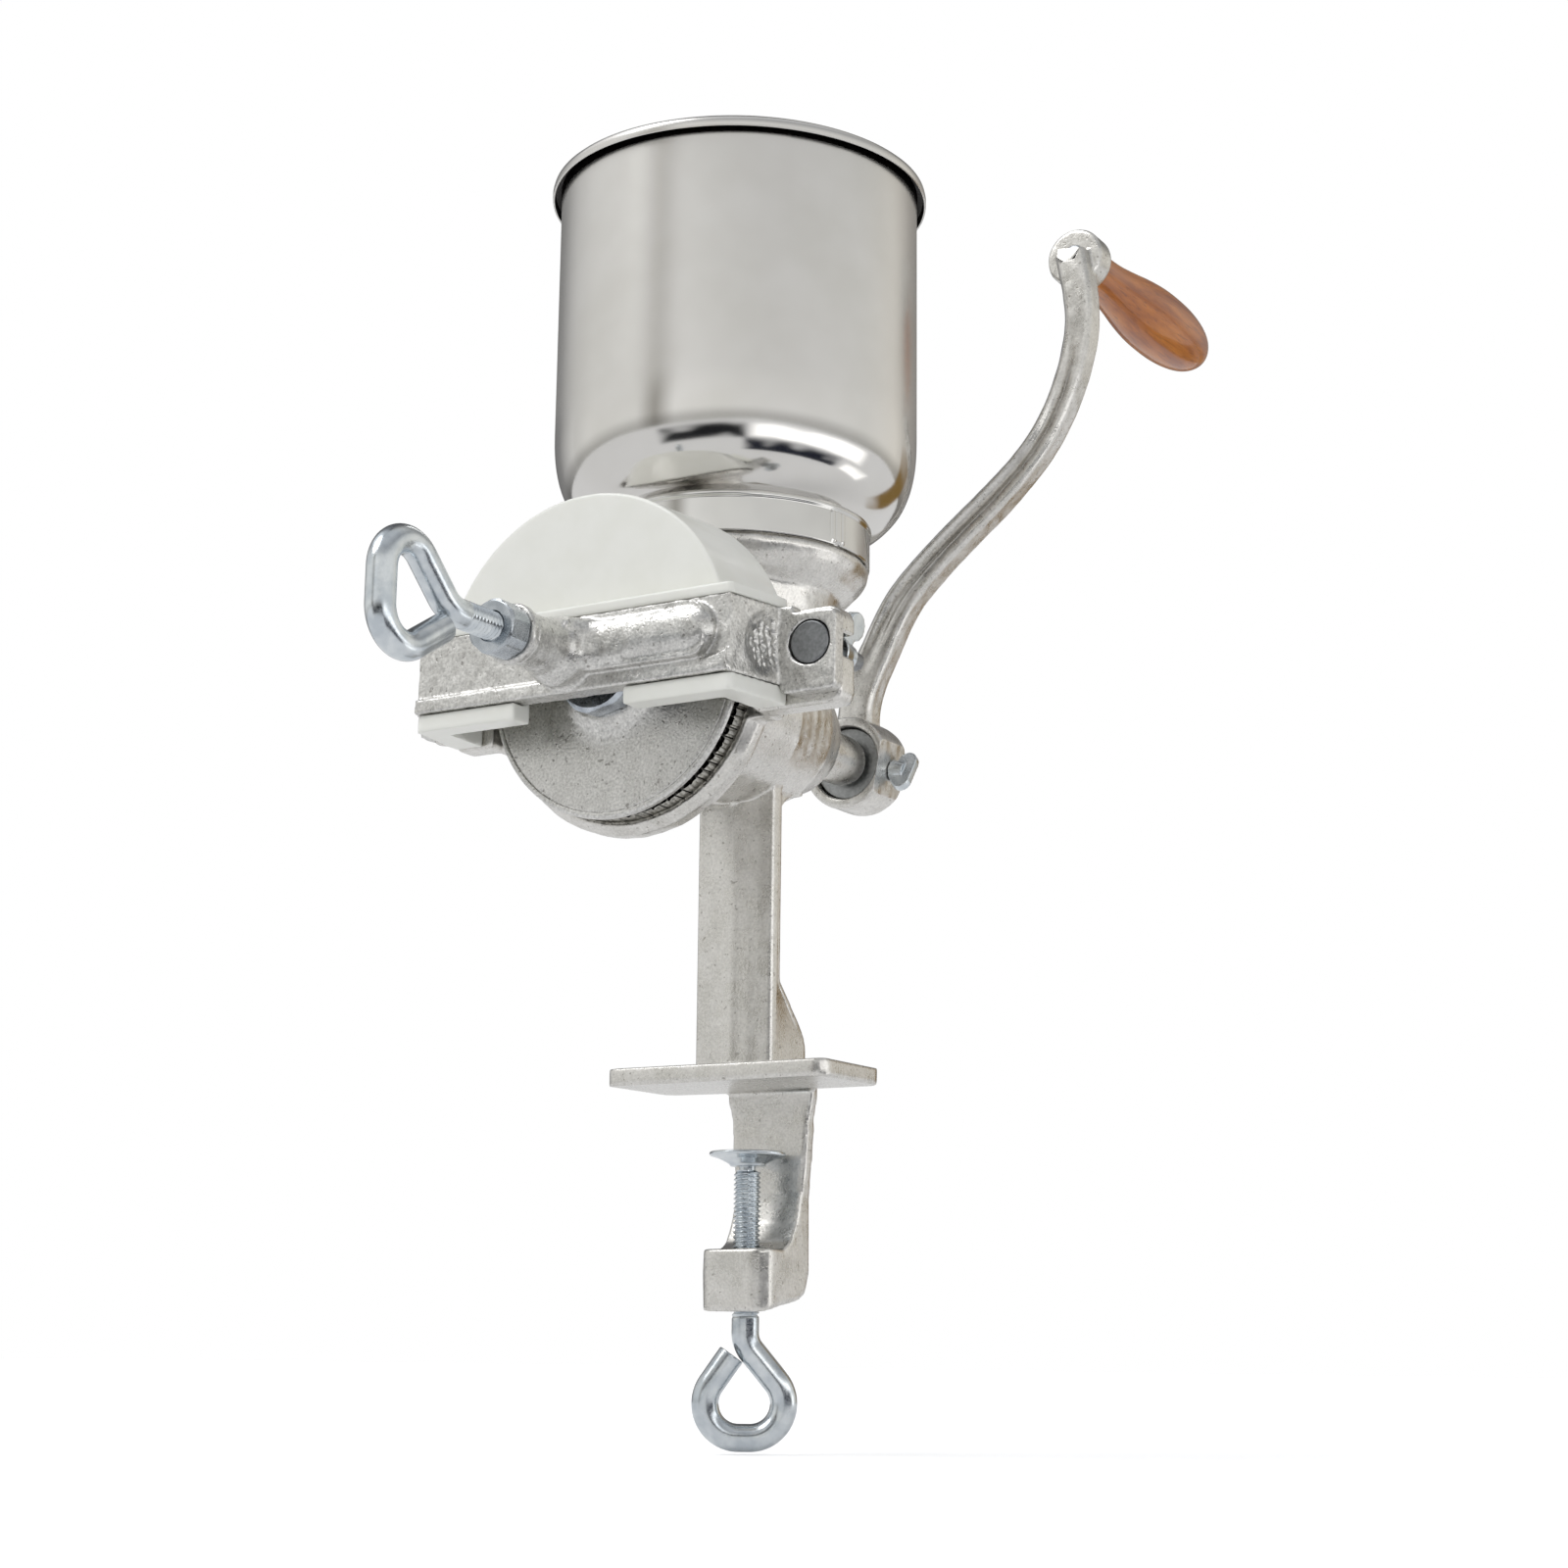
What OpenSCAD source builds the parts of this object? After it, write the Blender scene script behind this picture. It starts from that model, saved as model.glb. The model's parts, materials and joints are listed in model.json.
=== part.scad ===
// Hand grain mill that clamps to a table edge, with a steel hopper and a swan-neck crank.
// The origin is on the underside of the table plate, under the hopper's axis. +Z is up.
// The shaft runs along Y: the grinding discs face -Y and the crank is at +Y.

/* [Table plate and post] */
// Width of the table plate
plate_w = 95; // [80:1:110]
// Depth of the table plate, along the shaft
plate_d = 43; // [38:1:60]
// Thickness of the table plate
plate_t = 6.4; // [5:0.2:10]
// Distance from the hopper's axis to the front edge of the table plate
plate_front = 10.4; // [8:0.2:14]
// Height of the shaft above the table
axis_h = 138; // [130:1:170]
// Width of the post
post_w = 33.2; // [28:0.4:38]
// Thickness of the post
post_t = 6.6; // [5.6:0.2:9]
// Distance from the hopper's axis back to the post's front face
post_setback = 4; // [2:0.5:6]

/* [Table clamp] */
// Width of the clamp's back
spine_w = 31; // [28:1:36]
// Thickness of the clamp's back, front to rear
spine_t = 5; // [4.6:0.2:8]
// Width of the jaw
jaw_w = 29; // [26:0.5:32]
// Height of the jaw
jaw_h = 23; // [18:1:28]
// Clear height between the table plate and the jaw
throat_h = 59.5; // [52:0.5:80]
// Distance from the hopper's axis back to the clamp screw's axis
clamp_y = 15.6; // [14:0.1:18]
// Diameter of the clamp screw's rod
clamp_rod_d = 10; // [9:0.2:11]
// Thread pitch of the clamp screw
clamp_pitch = 1.75; // [1.5:0.05:2]
// Inner width of the clamp screw's eye
clamp_eye_w = 18.6; // [17:0.2:24]
// Length of the clamp screw from the pressure pad to its eye
clamp_screw_l = 60; // [56:1:76]
// Angle the clamp screw's eye is turned to, as photographed
eye_turn = 31; // [-90:1:90]
// Diameter of the pressure pad
pad_d = 28.4; // [24:0.2:32]
// Distance of the pressure pad below the table plate, as photographed
pad_drop = 24; // [14:1:36]

/* [Grinding head] */
// Distance that the housing's front flange stands out beyond the grinding plates
flange_lip = 4.9; // [3.5:0.1:7]
// Thickness of the housing's front flange
flange_t = 11; // [9:0.5:14]
// Distance from the hopper's axis forward to the flange's front face
flange_y = 68; // [66:0.5:76]
// Bore of the feed chamber
chamber_d = 52; // [46:1:54]
// Wall of the feed chamber
chamber_wall = 5.6; // [4:0.2:6]
// Distance from the hopper's axis back to the end of the nose bearing
nose_y = 86; // [80:0.5:92]
// Outer diameter of the nose bearing
nose_d = 20.4; // [19:0.2:24]
// Diameter of the two grinding plates
burr_d = 103; // [96:0.5:112]
// Bore of the two grinding plates
burr_bore = 44; // [40:1:48]
// Thickness of the fixed grinding plate
fixed_burr_t = 6.8; // [5:0.2:8]
// Thickness of the turning grinding plate
turning_burr_t = 2.8; // [2.4:0.1:4]
// Gap between the two grinding plates, as photographed
burr_gap = 1; // [0.8:0.1:2]
// Number of radial grooves in each grinding plate
groove_count = 36; // [24:2:48]
// Distance that the turning disc stands out beyond the grinding plates
disc_lip = 1; // [0.5:0.1:1.5]
// Thickness of the turning disc's rim
disc_t = 2.2; // [1.8:0.1:4]
// Diameter of the shaft's journal
journal_d = 14; // [12:0.5:15]
// Diameter of the shaft inside the chamber
shaft_d = 16; // [15:0.5:18]
// Diameter of the feed auger
auger_d = 49; // [44:0.5:50]
// Axial pitch of the feed auger
auger_pitch = 34; // [26:1:40]

/* [Neck and hopper] */
// Diameter of the neck's flared rim
neck_rim_d = 103; // [99:0.5:106]
// Height of the neck's rim above the shaft
neck_h = 58; // [54:0.5:64]
// Diameter of the hopper's bowl
hopper_d = 140; // [130:1:150]
// Distance that the hopper's collar stands out beyond the neck's rim
collar_lip = 0.5; // [0.4:0.1:1.5]
// Height of the hopper's collar
collar_h = 15.5; // [13:0.5:20]
// Height of the hopper from the collar's foot to its rim
hopper_h = 153.6; // [130:0.2:190]
// Thickness of the hopper's sheet
sheet_t = 0.8; // [0.6:0.1:1.2]
// Diameter of the hopper's rolled rim wire
rim_wire_d = 4.8; // [4:0.2:6]

/* [Yoke and guard] */
// Distance that the yoke's straight bar reaches past the guard
bar_reach = 5.5; // [4.5:0.5:8]
// Height of the yoke's bar
bar_h = 27; // [24:0.5:30]
// Thickness of the yoke's bar
bar_t = 6.5; // [5:0.5:8]
// Distance from the hopper's axis forward to the bar's front face
bar_y = 105; // [103:0.5:110]
// Distance from the end of the yoke's bar out to the yoke bolt
bolt_reach = 16.5; // [16:0.5:19]
// Diameter of the yoke bolt's head
bolt_head_d = 15; // [13:0.5:17]
// Diameter of the yoke bolt's shank
bolt_d = 6.6; // [6:0.2:8]
// Length of the boss on the yoke
boss_l = 34; // [30:0.5:38]
// Outer diameter of the boss on the yoke
boss_d = 21; // [20:0.5:26]
// Radial gap between the turning disc and the guard
guard_gap = 5.5; // [4.5:0.1:6.5]
// Depth of the guard
guard_d = 38; // [36:0.5:40]
// Wall of the guard
guard_wall = 2.5; // [2:0.1:3]

/* [Adjusting screw] */
// Diameter of the adjusting screw's rod
adjust_rod_d = 10; // [9:0.2:11]
// Thread pitch of the adjusting screw
adjust_pitch = 1.75; // [1.5:0.05:2]
// Inner height of the adjusting screw's eye
adjust_eye_w = 24.6; // [22:0.5:27]
// Distance across the lock nut's flats
lock_nut_af = 18; // [17:0.5:20]
// Thickness of the lock nut
lock_nut_t = 10; // [8:0.5:12]
// Distance across the hub nut's flats
hub_nut_af = 32; // [28:0.5:34]
// Thickness of the hub nut
hub_nut_t = 8; // [7:0.5:10]
// Diameter of the thrust ball
ball_d = 7; // [6:0.5:8]

/* [Crank] */
// Sideways reach of the crank arm, as it stands in the photograph
throw_x = 96; // [80:1:110]
// Upward reach of the crank arm, as it stands in the photograph
throw_z = 206; // [180:1:230]
// Thickness of the crank arm
arm_t = 9; // [7:0.5:11]
// Width of the crank arm at its middle
arm_w = 15; // [12:0.5:18]
// Diameter of the crank's hub
hub_d = 38; // [36:0.5:42]
// Length of the crank's hub
hub_l = 24; // [20:0.5:26]
// Diameter of the boss that carries the grip
grip_boss_d = 24; // [20:0.5:28]
// Length of the boss that carries the grip
grip_boss_l = 11.5; // [9:0.5:14]
// Diameter of the grip's spindle
spindle_d = 8; // [7:0.5:9]
// Length of the wooden grip
grip_l = 116; // [100:1:130]
// Largest diameter of the wooden grip
grip_d = 28.4; // [26:0.2:32]

/* [Hidden] */

$fn = 96;
// One overrun serves every cut
over = 1;
// Radial clearance of a running fit
run_clear = 0.06;
// Radial clearance of the clamp screw's thread in the jaw
thread_clear = 0.14;
// Distance kept between pieces that lie beside each other
lie_clear = 0.3;
// Soft edge of the castings
cast_r = 2.5;

// Diameters and reaches round the shaft
disc_d = burr_d + 2 * disc_lip;
flange_d = burr_d + 2 * flange_lip;
guard_r = disc_d / 2 + guard_gap + guard_wall;
bar_half_w = guard_r + bar_reach;
bolt_x = bar_half_w + bolt_reach;
collar_d = neck_rim_d + 2 * collar_lip;

// Small edge turned on shafts, bosses and rims
turned_edge = 1;

// Places along the shaft
flange_front = -flange_y;
flange_back = flange_front + flange_t;
burr_seat_depth = 2;
fixed_burr_back = flange_front + burr_seat_depth;
fixed_burr_front = fixed_burr_back - fixed_burr_t;
turning_burr_back = fixed_burr_front - burr_gap;
turning_burr_front = turning_burr_back - turning_burr_t;
disc_front = turning_burr_front - disc_t;
disc_boss_l = 4;
disc_boss_d = 40;
disc_boss_front = disc_front - disc_boss_l;
hub_nut_front = disc_boss_front - hub_nut_t;
nut_cup_depth = 5;
ball_y = hub_nut_front + nut_cup_depth - lie_clear - ball_d / 2;
screw_tip_y = ball_y - ball_d / 2 - lie_clear;
bar_front = -bar_y;
bar_back = bar_front + bar_t;
boss_front = bar_front - boss_l;
lock_nut_front = boss_front - lie_clear - lock_nut_t;
chamber_back = chamber_d / 2;
float_in = burr_gap - lie_clear;
float_out = 2;
rotor_back = chamber_back - float_in - lie_clear;
shell_back = 39;
barrel_end = 49;

// Walls and fits of the hopper
collar_wall = 1;
neck_fit = 0.05;

// Places of the crank along the shaft
// The nose stands this far into the hub's recess
nose_lap = 1;
crank_front = nose_y - nose_lap;
recess_depth = 5;
washer_t = 1.4;
arm_setback = 14.5;
arm_front = crank_front + arm_setback;
grip_boss_setback = 19.7;
grip_boss_front = crank_front + grip_boss_setback;
grip_boss_back = grip_boss_front + grip_boss_l;
grip_washer_t = 1.2;
grip_front = grip_boss_back + grip_washer_t + lie_clear;

// Places up and down
bar_low = axis_h - bar_h / 2;
bar_top = axis_h + bar_h / 2;
neck_top = axis_h + neck_h;
collar_foot = neck_top + lie_clear;
rim_top = collar_foot + hopper_h;
jaw_top = -throat_h;

// A cylinder along +Y that starts at y
module rod_y(y, l, d, d2 = -1) {
    end_d = d2 < 0 ? d : d2;
    translate([0, y, 0]) rotate([-90, 0, 0]) cylinder(h = l, d1 = d, d2 = end_d);
}

// A revolved outline about Y: the outline holds [radius, place along Y]
module turned_y(points) {
    rotate([90, 0, 0]) mirror([0, 0, 1]) rotate_extrude() polygon(points);
}

// A plate in the XZ plane, drawn as [x, z], that starts at y and runs back by t
module plate_xz(y, t) {
    translate([0, y + t, 0]) rotate([90, 0, 0]) linear_extrude(t) children();
}

// An outline in the YZ plane, drawn as [y, z], spread evenly to both sides of x = 0
module slab_yz(w) {
    rotate([90, 0, 90]) translate([0, 0, -w / 2]) linear_extrude(w) children();
}

// A rectangle with round corners between two corner points
module soft_rect(a, b, r) {
    w = b.x - a.x;
    h = b.y - a.y;
    translate(a + [r, 0]) square([w - 2 * r, h]);
    translate(a + [0, r]) square([w, h - 2 * r]);
    for (x = [a.x + r, b.x - r], y = [a.y + r, b.y - r]) translate([x, y]) circle(r, $fn = 32);
}

// A rod along +Z with stacked thread ridges
thread_depth_share = 0.09;
module thread_z(d, pitch, l) {
    depth = d * thread_depth_share;
    root = d / 2 - depth;
    crest = d / 2;
    turns = floor(l / pitch);
    flank_share = 0.42;
    rotate_extrude($fn = 48) polygon(concat(
        [[0, 0], [root, 0]],
        [for (i = [0:turns - 1], p = [
            [crest, (i + flank_share) * pitch],
            [crest, (i + 1 - flank_share) * pitch],
            [root, (i + 1) * pitch],
        ]) p],
        [[root, l], [0, l]]
    ));
}

// A piece of round rod bent about the point [r, 0] away, in the XZ plane, by an angle
module bent_rod(d, r, from, sweep) {
    rotate([90, 0, 0]) rotate_extrude(angle = sweep, start = from, $fn = 72) translate([r, 0]) circle(d = d, $fn = 40);
}

// An eye bent from round rod: the shank comes down -Z to the origin, and the eye hangs below it.
// shares holds the first bend's radius, the corners' radius and the closing leg, against the eye's
// half width. lean and close are the angles that the two legs stand at to the shank.
// Straight lengths are a hair thinner than the bends and lap into them, so each joint is clean.
weld_step = 0.04;
weld_lap = 0.3;
function eye_leg(r, bend, corner, lean) = (r - corner + corner * cos(lean) - bend * (1 - cos(lean))) / sin(lean);
function eye_centre(r, bend, corner, lean) =
    -(bend + corner) * sin(lean) - eye_leg(r, bend, corner, lean) * cos(lean);
module rod_eye(d, inner_w, shares, lean, close) {
    r = (inner_w + d) / 2;
    bend = r * shares[0];
    corner = r * shares[1];
    side = r - corner;
    leg = eye_leg(r, bend, corner, lean);
    straight_d = d - 2 * weld_step;
    translate([bend, 0, 0]) bent_rod(d, bend, 180, lean);
    translate([bend * (1 - cos(lean)), 0, -bend * sin(lean)]) rotate([0, 180 - lean, 0])
        translate([0, 0, -weld_lap]) cylinder(h = leg + 2 * weld_lap, d = straight_d, $fn = 40);
    translate([0, 0, eye_centre(r, bend, corner, lean)]) {
        translate([side, 0, 0]) bent_rod(d, corner, -90, 90 + lean);
        translate([-side - weld_lap, 0, -corner]) rotate([0, 90, 0])
            cylinder(h = 2 * side + 2 * weld_lap, d = straight_d, $fn = 40);
        translate([-side, 0, 0]) {
            bent_rod(d, corner, -180 - close, 90 + close);
            rotate([0, 180 + close, 0]) translate([corner, 0, weld_lap]) rotate([180, 0, 0])
                cylinder(h = r * shares[2] + weld_lap, d = straight_d, $fn = 40);
        }
    }
}

// A smooth curve through hand-placed points
function between(a, b, c, d, t) =
    0.5 * (2 * b + (c - a) * t + (2 * a - 5 * b + 4 * c - d) * t * t + (3 * b - a - 3 * c + d) * t * t * t);
function smooth_path(p, steps) = [
    for (i = [0:len(p) - 2], s = [0:steps - 1])
        between(p[max(i - 1, 0)], p[i], p[i + 1], p[min(i + 2, len(p) - 1)], s / steps),
    p[len(p) - 1],
];

// Body casting: table plate, clamp frame, post, barrel, flange, ears and neck

module table_plate() {
    corner = 5;
    linear_extrude(plate_t) soft_rect(
        [-plate_w / 2, -plate_front], [plate_w / 2, plate_d - plate_front], corner);
}

pad_gap = 0.8;
spine_front = clamp_y + pad_d / 2 + pad_gap;
spine_back = spine_front + spine_t;
jaw_low = jaw_top - jaw_h;
jaw_wall = 5.8;
jaw_front = clamp_y - clamp_rod_d / 2 - jaw_wall;
jaw_corner = 6;
clamp_shares = [[0, 0.45], [0, 0.64], [-0.5, 0.83], [-1.2, 0.945], [-2, 1]];
module clamp_frame() {
    lead = 3;
    flare = 3;
    difference() {
        intersection() {
            slab_yz(plate_w) polygon(concat(
                [[spine_back, -lead], [spine_back, plate_t / 2], [spine_front, plate_t / 2], [spine_front, -lead]],
                [for (p = clamp_shares) [spine_front + p[0] * jaw_corner, p[1] * jaw_top]],
                [
                    [jaw_front, jaw_top], [jaw_front, jaw_low],
                    [spine_back - jaw_corner, jaw_low + jaw_corner * 0.8],
                    [spine_back - jaw_corner * 0.3, jaw_low + jaw_corner * 1.2],
                    [spine_back + lead * 0.4, jaw_low + jaw_corner * 2.4], [spine_back + lead * 0.4, jaw_top * 0.7],
                ]
            ));
            plate_xz(-plate_d, 3 * plate_d) polygon([
                [-spine_w / 2 - flare, plate_t], [spine_w / 2 + flare, plate_t], [spine_w / 2 + flare, -lead],
                [spine_w / 2 + flare * 0.4, -lead * 4], [jaw_w / 2, jaw_top * 0.7], [jaw_w / 2, jaw_low - over],
                [-jaw_w / 2, jaw_low - over], [-jaw_w / 2, jaw_top * 0.7],
                [-spine_w / 2 - flare * 0.4, -lead * 4], [-spine_w / 2 - flare, -lead],
            ]);
        }
        translate([0, clamp_y, jaw_low - over]) cylinder(h = jaw_h + clamp_rod_d, d = clamp_rod_d + 2 * thread_clear);
        for (side = [-1, 1]) translate([side * (jaw_w / 2 - jaw_corner), jaw_front + jaw_corner, jaw_low - over])
            difference() {
                translate([side > 0 ? 0 : -jaw_corner - over, -jaw_corner - over, 0])
                    cube([jaw_corner + over, jaw_corner + over, jaw_h + 2 * over]);
                translate([0, 0, -over]) cylinder(h = jaw_h + 4 * over, r = jaw_corner);
            }
    }
}

module post() {
    back = post_setback + post_t;
    web_w = 8;
    web_d = 12;
    gusset_h = 32;
    gusset_setback = 3;
    gusset_d = plate_d - plate_front - back - gusset_setback;
    fillet = 20;
    barrel_low = axis_h - chamber_d / 2 - chamber_wall;
    top = axis_h - chamber_d / 4;
    translate([-post_w / 2, post_setback, plate_t / 2]) cube([post_w, post_t, top - plate_t / 2]);
    slab_yz(web_w) polygon([
        [back - over, plate_t / 2], [back + web_d, plate_t / 2], [back + web_d, top], [back - over, top]]);
    slab_yz(post_w) polygon([
        [back - over, plate_t / 2], [back + gusset_d, plate_t / 2], [back + gusset_d, plate_t + gusset_h * 0.25],
        [back + gusset_d * 0.9, plate_t + gusset_h * 0.42], [back, plate_t + gusset_h], [back - over, plate_t + gusset_h]]);
    difference() {
        slab_yz(post_w * 0.8) translate([back - over, barrel_low - fillet]) square([fillet + over, fillet + chamber_wall * 3]);
        translate([-post_w, back + fillet, barrel_low - fillet + chamber_wall]) rotate([0, 90, 0])
            cylinder(h = 2 * post_w, r = fillet);
    }
}

module barrel() {
    root = chamber_d / 2 + chamber_wall;
    shoulder = nose_d;
    turned_y([
        [0, flange_front], [flange_d / 2 - cast_r, flange_front], [flange_d / 2, flange_front + cast_r * 1.4],
        [flange_d / 2, flange_back - cast_r], [flange_d / 2 - cast_r, flange_back],
        [root + cast_r * 5, flange_back + cast_r], [root + cast_r * 2, flange_back + cast_r * 4],
        [root, flange_back + cast_r * 8], [root, 0], [root - cast_r, shell_back * 0.62],
        [shoulder + cast_r, shell_back], [shoulder, barrel_end - cast_r], [shoulder - cast_r, barrel_end],
        [nose_d / 2 + cast_r, barrel_end + cast_r], [nose_d / 2, barrel_end + cast_r * 3],
        [nose_d / 2, nose_y - turned_edge], [nose_d / 2 - turned_edge, nose_y], [0, nose_y],
    ]);
}

ear_t = 9.4;
ear_below = 20.5;
ear_above = 13.5;
ear_low = axis_h - ear_below;
ear_top = axis_h + ear_above;
ear_step = 7.4;
ear_front = flange_front - ear_step;
ear_root_lip = 4;
ear_root = flange_d / 2 + ear_root_lip;
ear_gap = 2.5;
ear_in = disc_d / 2 + ear_gap;
ear_end = 9;
ear_right = bolt_x + ear_end;
slot_play = 1.4;
slot_w = bolt_d + slot_play;
knuckle_reach = 13;
pivot_x = -bar_half_w - knuckle_reach;
pivot_y = ear_front + ear_t / 2;
knuckle_d = 10;
module ears() {
    knuckle_neck = 7;
    ear_left = -pivot_x - knuckle_neck;
    neck_t = 4.8;
    corner = 5;
    root_depth = 12;
    difference() {
        plate_xz(ear_front, ear_t) soft_rect([ear_in, ear_low], [ear_right, ear_top], corner);
        translate([bolt_x, ear_front - over, axis_h]) rotate([-90, 0, 0]) cylinder(h = ear_t + 2 * over, d = slot_w);
        translate([bolt_x, ear_front - over, axis_h - slot_w / 2]) cube([slot_w * 2, ear_t + 2 * over, slot_w]);
    }
    plate_xz(ear_front, ear_t) soft_rect([-ear_left, ear_low], [-ear_in, ear_top], cast_r);
    translate([pivot_x, pivot_y - neck_t / 2, ear_low + corner])
        cube([-ear_left - pivot_x + corner, neck_t, ear_top - ear_low - 2 * corner]);
    translate([pivot_x, pivot_y, ear_low + corner]) cylinder(h = ear_top - ear_low - 2 * corner, d = knuckle_d);
    // The ears grow out of the flange's rim
    for (side = [-1, 1]) plate_xz(flange_front, flange_t - cast_r)
        soft_rect([side > 0 ? flange_d / 2 - root_depth : -ear_root, ear_low],
            [side > 0 ? ear_root : -flange_d / 2 + root_depth, ear_top], cast_r);
}

spigot_d = collar_d - 2 * (collar_wall + neck_fit + sheet_t + lie_clear);
spigot_h = 9;
column_share = 0.738;
module neck() {
    low = 8;
    flare_h = 13.5;
    column_d = neck_rim_d * column_share;
    bulge = 2.4;
    rim_r = neck_rim_d / 2;
    rotate_extrude() polygon([
        [0, axis_h + low], [column_d * 0.34, axis_h + low], [column_d * 0.46, neck_top - flare_h * 2.8],
        [column_d / 2, neck_top - flare_h * 1.7], [column_d / 2 + bulge, neck_top - flare_h],
        [rim_r - (rim_r - column_d / 2) * 0.42, neck_top - flare_h * 0.75],
        [rim_r - (rim_r - column_d / 2) * 0.15, neck_top - flare_h * 0.46],
        [rim_r, neck_top - flare_h * 0.2], [rim_r, neck_top - flare_h * 0.07], [rim_r - turned_edge, neck_top],
        [spigot_d / 2, neck_top], [spigot_d / 2, neck_top + spigot_h], [0, neck_top + spigot_h],
    ]);
}

module neck_bore() {
    spigot_wall = 3;
    mouth = spigot_d - 2 * spigot_wall;
    floor_depth = 4;
    floor_z = neck_top - floor_depth;
    throat_step = 2;
    throat = chamber_d - throat_step;
    throat_z = axis_h + chamber_d / 2 + throat_step;
    translate([0, 0, floor_z]) cylinder(h = spigot_h + neck_h, d = mouth);
    translate([0, 0, throat_z]) cylinder(h = floor_z - throat_z, d1 = throat, d2 = mouth);
    translate([0, 0, axis_h]) cylinder(h = throat_z - axis_h, d = throat);
}

module body_casting() {
    color("#c4c3bf") difference() {
        union() {
            table_plate();
            clamp_frame();
            post();
            translate([0, 0, axis_h]) barrel();
            ears();
            neck();
        }
        neck_bore();
        translate([0, 0, axis_h]) {
            rod_y(flange_front - over, chamber_back - flange_front + over, chamber_d);
            rod_y(flange_front - over, burr_seat_depth + over, burr_d + 2 * lie_clear);
            rod_y(0, nose_y + over, journal_d + 2 * run_clear);
        }
    }
}

// Grinding plates, disc, auger and shaft

groove_w = 2.6;
groove_depth = 1.2;
module burr(t) {
    difference() {
        rod_y(0, t, burr_d);
        rod_y(-over, t + 2 * over, burr_bore);
        for (i = [0:groove_count - 1]) rotate([0, i * 360 / groove_count, 0])
            translate([burr_bore / 2 + groove_w, -over, -groove_w / 2])
                cube([burr_d / 2, groove_depth + over, groove_w]);
    }
}

module fixed_plate() {
    color("#8d8c88") translate([0, fixed_burr_front, axis_h]) burr(fixed_burr_t);
}

module turning_plate() {
    color("#8d8c88") translate([0, turning_burr_back, axis_h]) mirror([0, 1, 0]) burr(turning_burr_t);
}

module disc_carrier() {
    rim = 1;
    color("#bdbcb8") translate([0, 0, axis_h]) difference() {
        turned_y([
            [0, disc_boss_front], [disc_boss_d / 2 - rim, disc_boss_front], [disc_boss_d / 2, disc_boss_front + rim],
            [disc_boss_d / 2 + disc_boss_l - rim, disc_front], [disc_d / 2 - rim, disc_front],
            [disc_d / 2, disc_front + rim], [disc_d / 2, turning_burr_front], [0, turning_burr_front],
        ]);
        rod_y(disc_boss_front - over, disc_boss_l + disc_t + 2 * over, shaft_d + 2 * run_clear);
    }
}

auger_core_d = 24;
auger_front = turning_burr_front;
auger_l = rotor_back - auger_front;
module feed_auger() {
    flight_share = 0.2;
    flight_front = fixed_burr_back + float_out + lie_clear;
    flight_l = auger_front + auger_l - flight_front;
    slices_per_turn = 14;
    slices = ceil(flight_l / auger_pitch * slices_per_turn);
    r = auger_d / 2;
    half_w = auger_d * flight_share / 2;
    color("#9b9a96") translate([0, 0, axis_h]) difference() {
        union() {
            rod_y(auger_front, auger_l, auger_core_d);
            translate([0, flight_front, 0]) rotate([-90, 0, 0])
                linear_extrude(flight_l, twist = -360 * flight_l / auger_pitch, slices = slices)
                    polygon([[0, -half_w], [r * 0.975, -half_w], [r, 0], [r * 0.975, half_w], [0, half_w]]);
        }
        rod_y(auger_front - over, auger_l + 2 * over, shaft_d + 2 * run_clear);
    }
}

shaft_front = hub_nut_front + nut_cup_depth;
shaft_proud = 1.5;
shaft_back = crank_front + hub_l + shaft_proud;
flat_depth = 1;
module drive_shaft() {
    flat_l = hub_l * 0.7;
    color("#8a8b8d") translate([0, 0, axis_h]) difference() {
        turned_y([
            [0, shaft_front], [shaft_d / 2 - turned_edge, shaft_front], [shaft_d / 2, shaft_front + turned_edge],
            [shaft_d / 2, rotor_back], [journal_d / 2, rotor_back],
            [journal_d / 2, shaft_back - turned_edge], [journal_d / 2 - turned_edge, shaft_back], [0, shaft_back],
        ]);
        rotate([0, thumb_lean, 0]) translate([journal_d / 2 - flat_depth, shaft_back - flat_l, -journal_d / 2])
            cube([journal_d, flat_l + over, journal_d]);
    }
}

// A cone-ended bar that chamfers a nut's corners, from its front face back past its length
module nut_turning(front, l, af) {
    start_share = 0.46;
    reach_share = 0.14;
    slope_share = 0.66;
    start = af * start_share;
    reach = af * reach_share;
    turned_y([
        [0, front], [start, front], [start + reach, front + reach * slope_share],
        [start + reach, front + l + over], [0, front + l + over],
    ]);
}

module hub_nut() {
    color("#a9adb3") translate([0, 0, axis_h]) difference() {
        intersection() {
            rotate([0, 12, 0]) rod_y(hub_nut_front, hub_nut_t, hub_nut_af / cos(30), $fn = 6);
            nut_turning(hub_nut_front, hub_nut_t, hub_nut_af);
        }
        rod_y(hub_nut_front - over, hub_nut_t + 2 * over, ball_d + 4 * lie_clear);
        rod_y(hub_nut_front + nut_cup_depth, hub_nut_t, shaft_d + 2 * run_clear);
    }
}

// Crank

thumb_lean = 10;
thumb_turn = 25;
hub_flat_depth = 3.4;
thumb_flat = hub_d / 2 - hub_flat_depth;
thumb_y = crank_front + hub_l * 0.53;
thumb_d = 6;
hub_recess_wall = 4;
hub_recess_d = hub_d - 2 * hub_recess_wall;
module thrust_washer() {
    outer = hub_recess_d - 4 * lie_clear;
    color("#6f7274") translate([0, 0, axis_h]) difference() {
        rod_y(crank_front + recess_depth - lie_clear - washer_t, washer_t, outer);
        rod_y(crank_front, recess_depth, journal_d + 2 * run_clear);
    }
}

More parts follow.
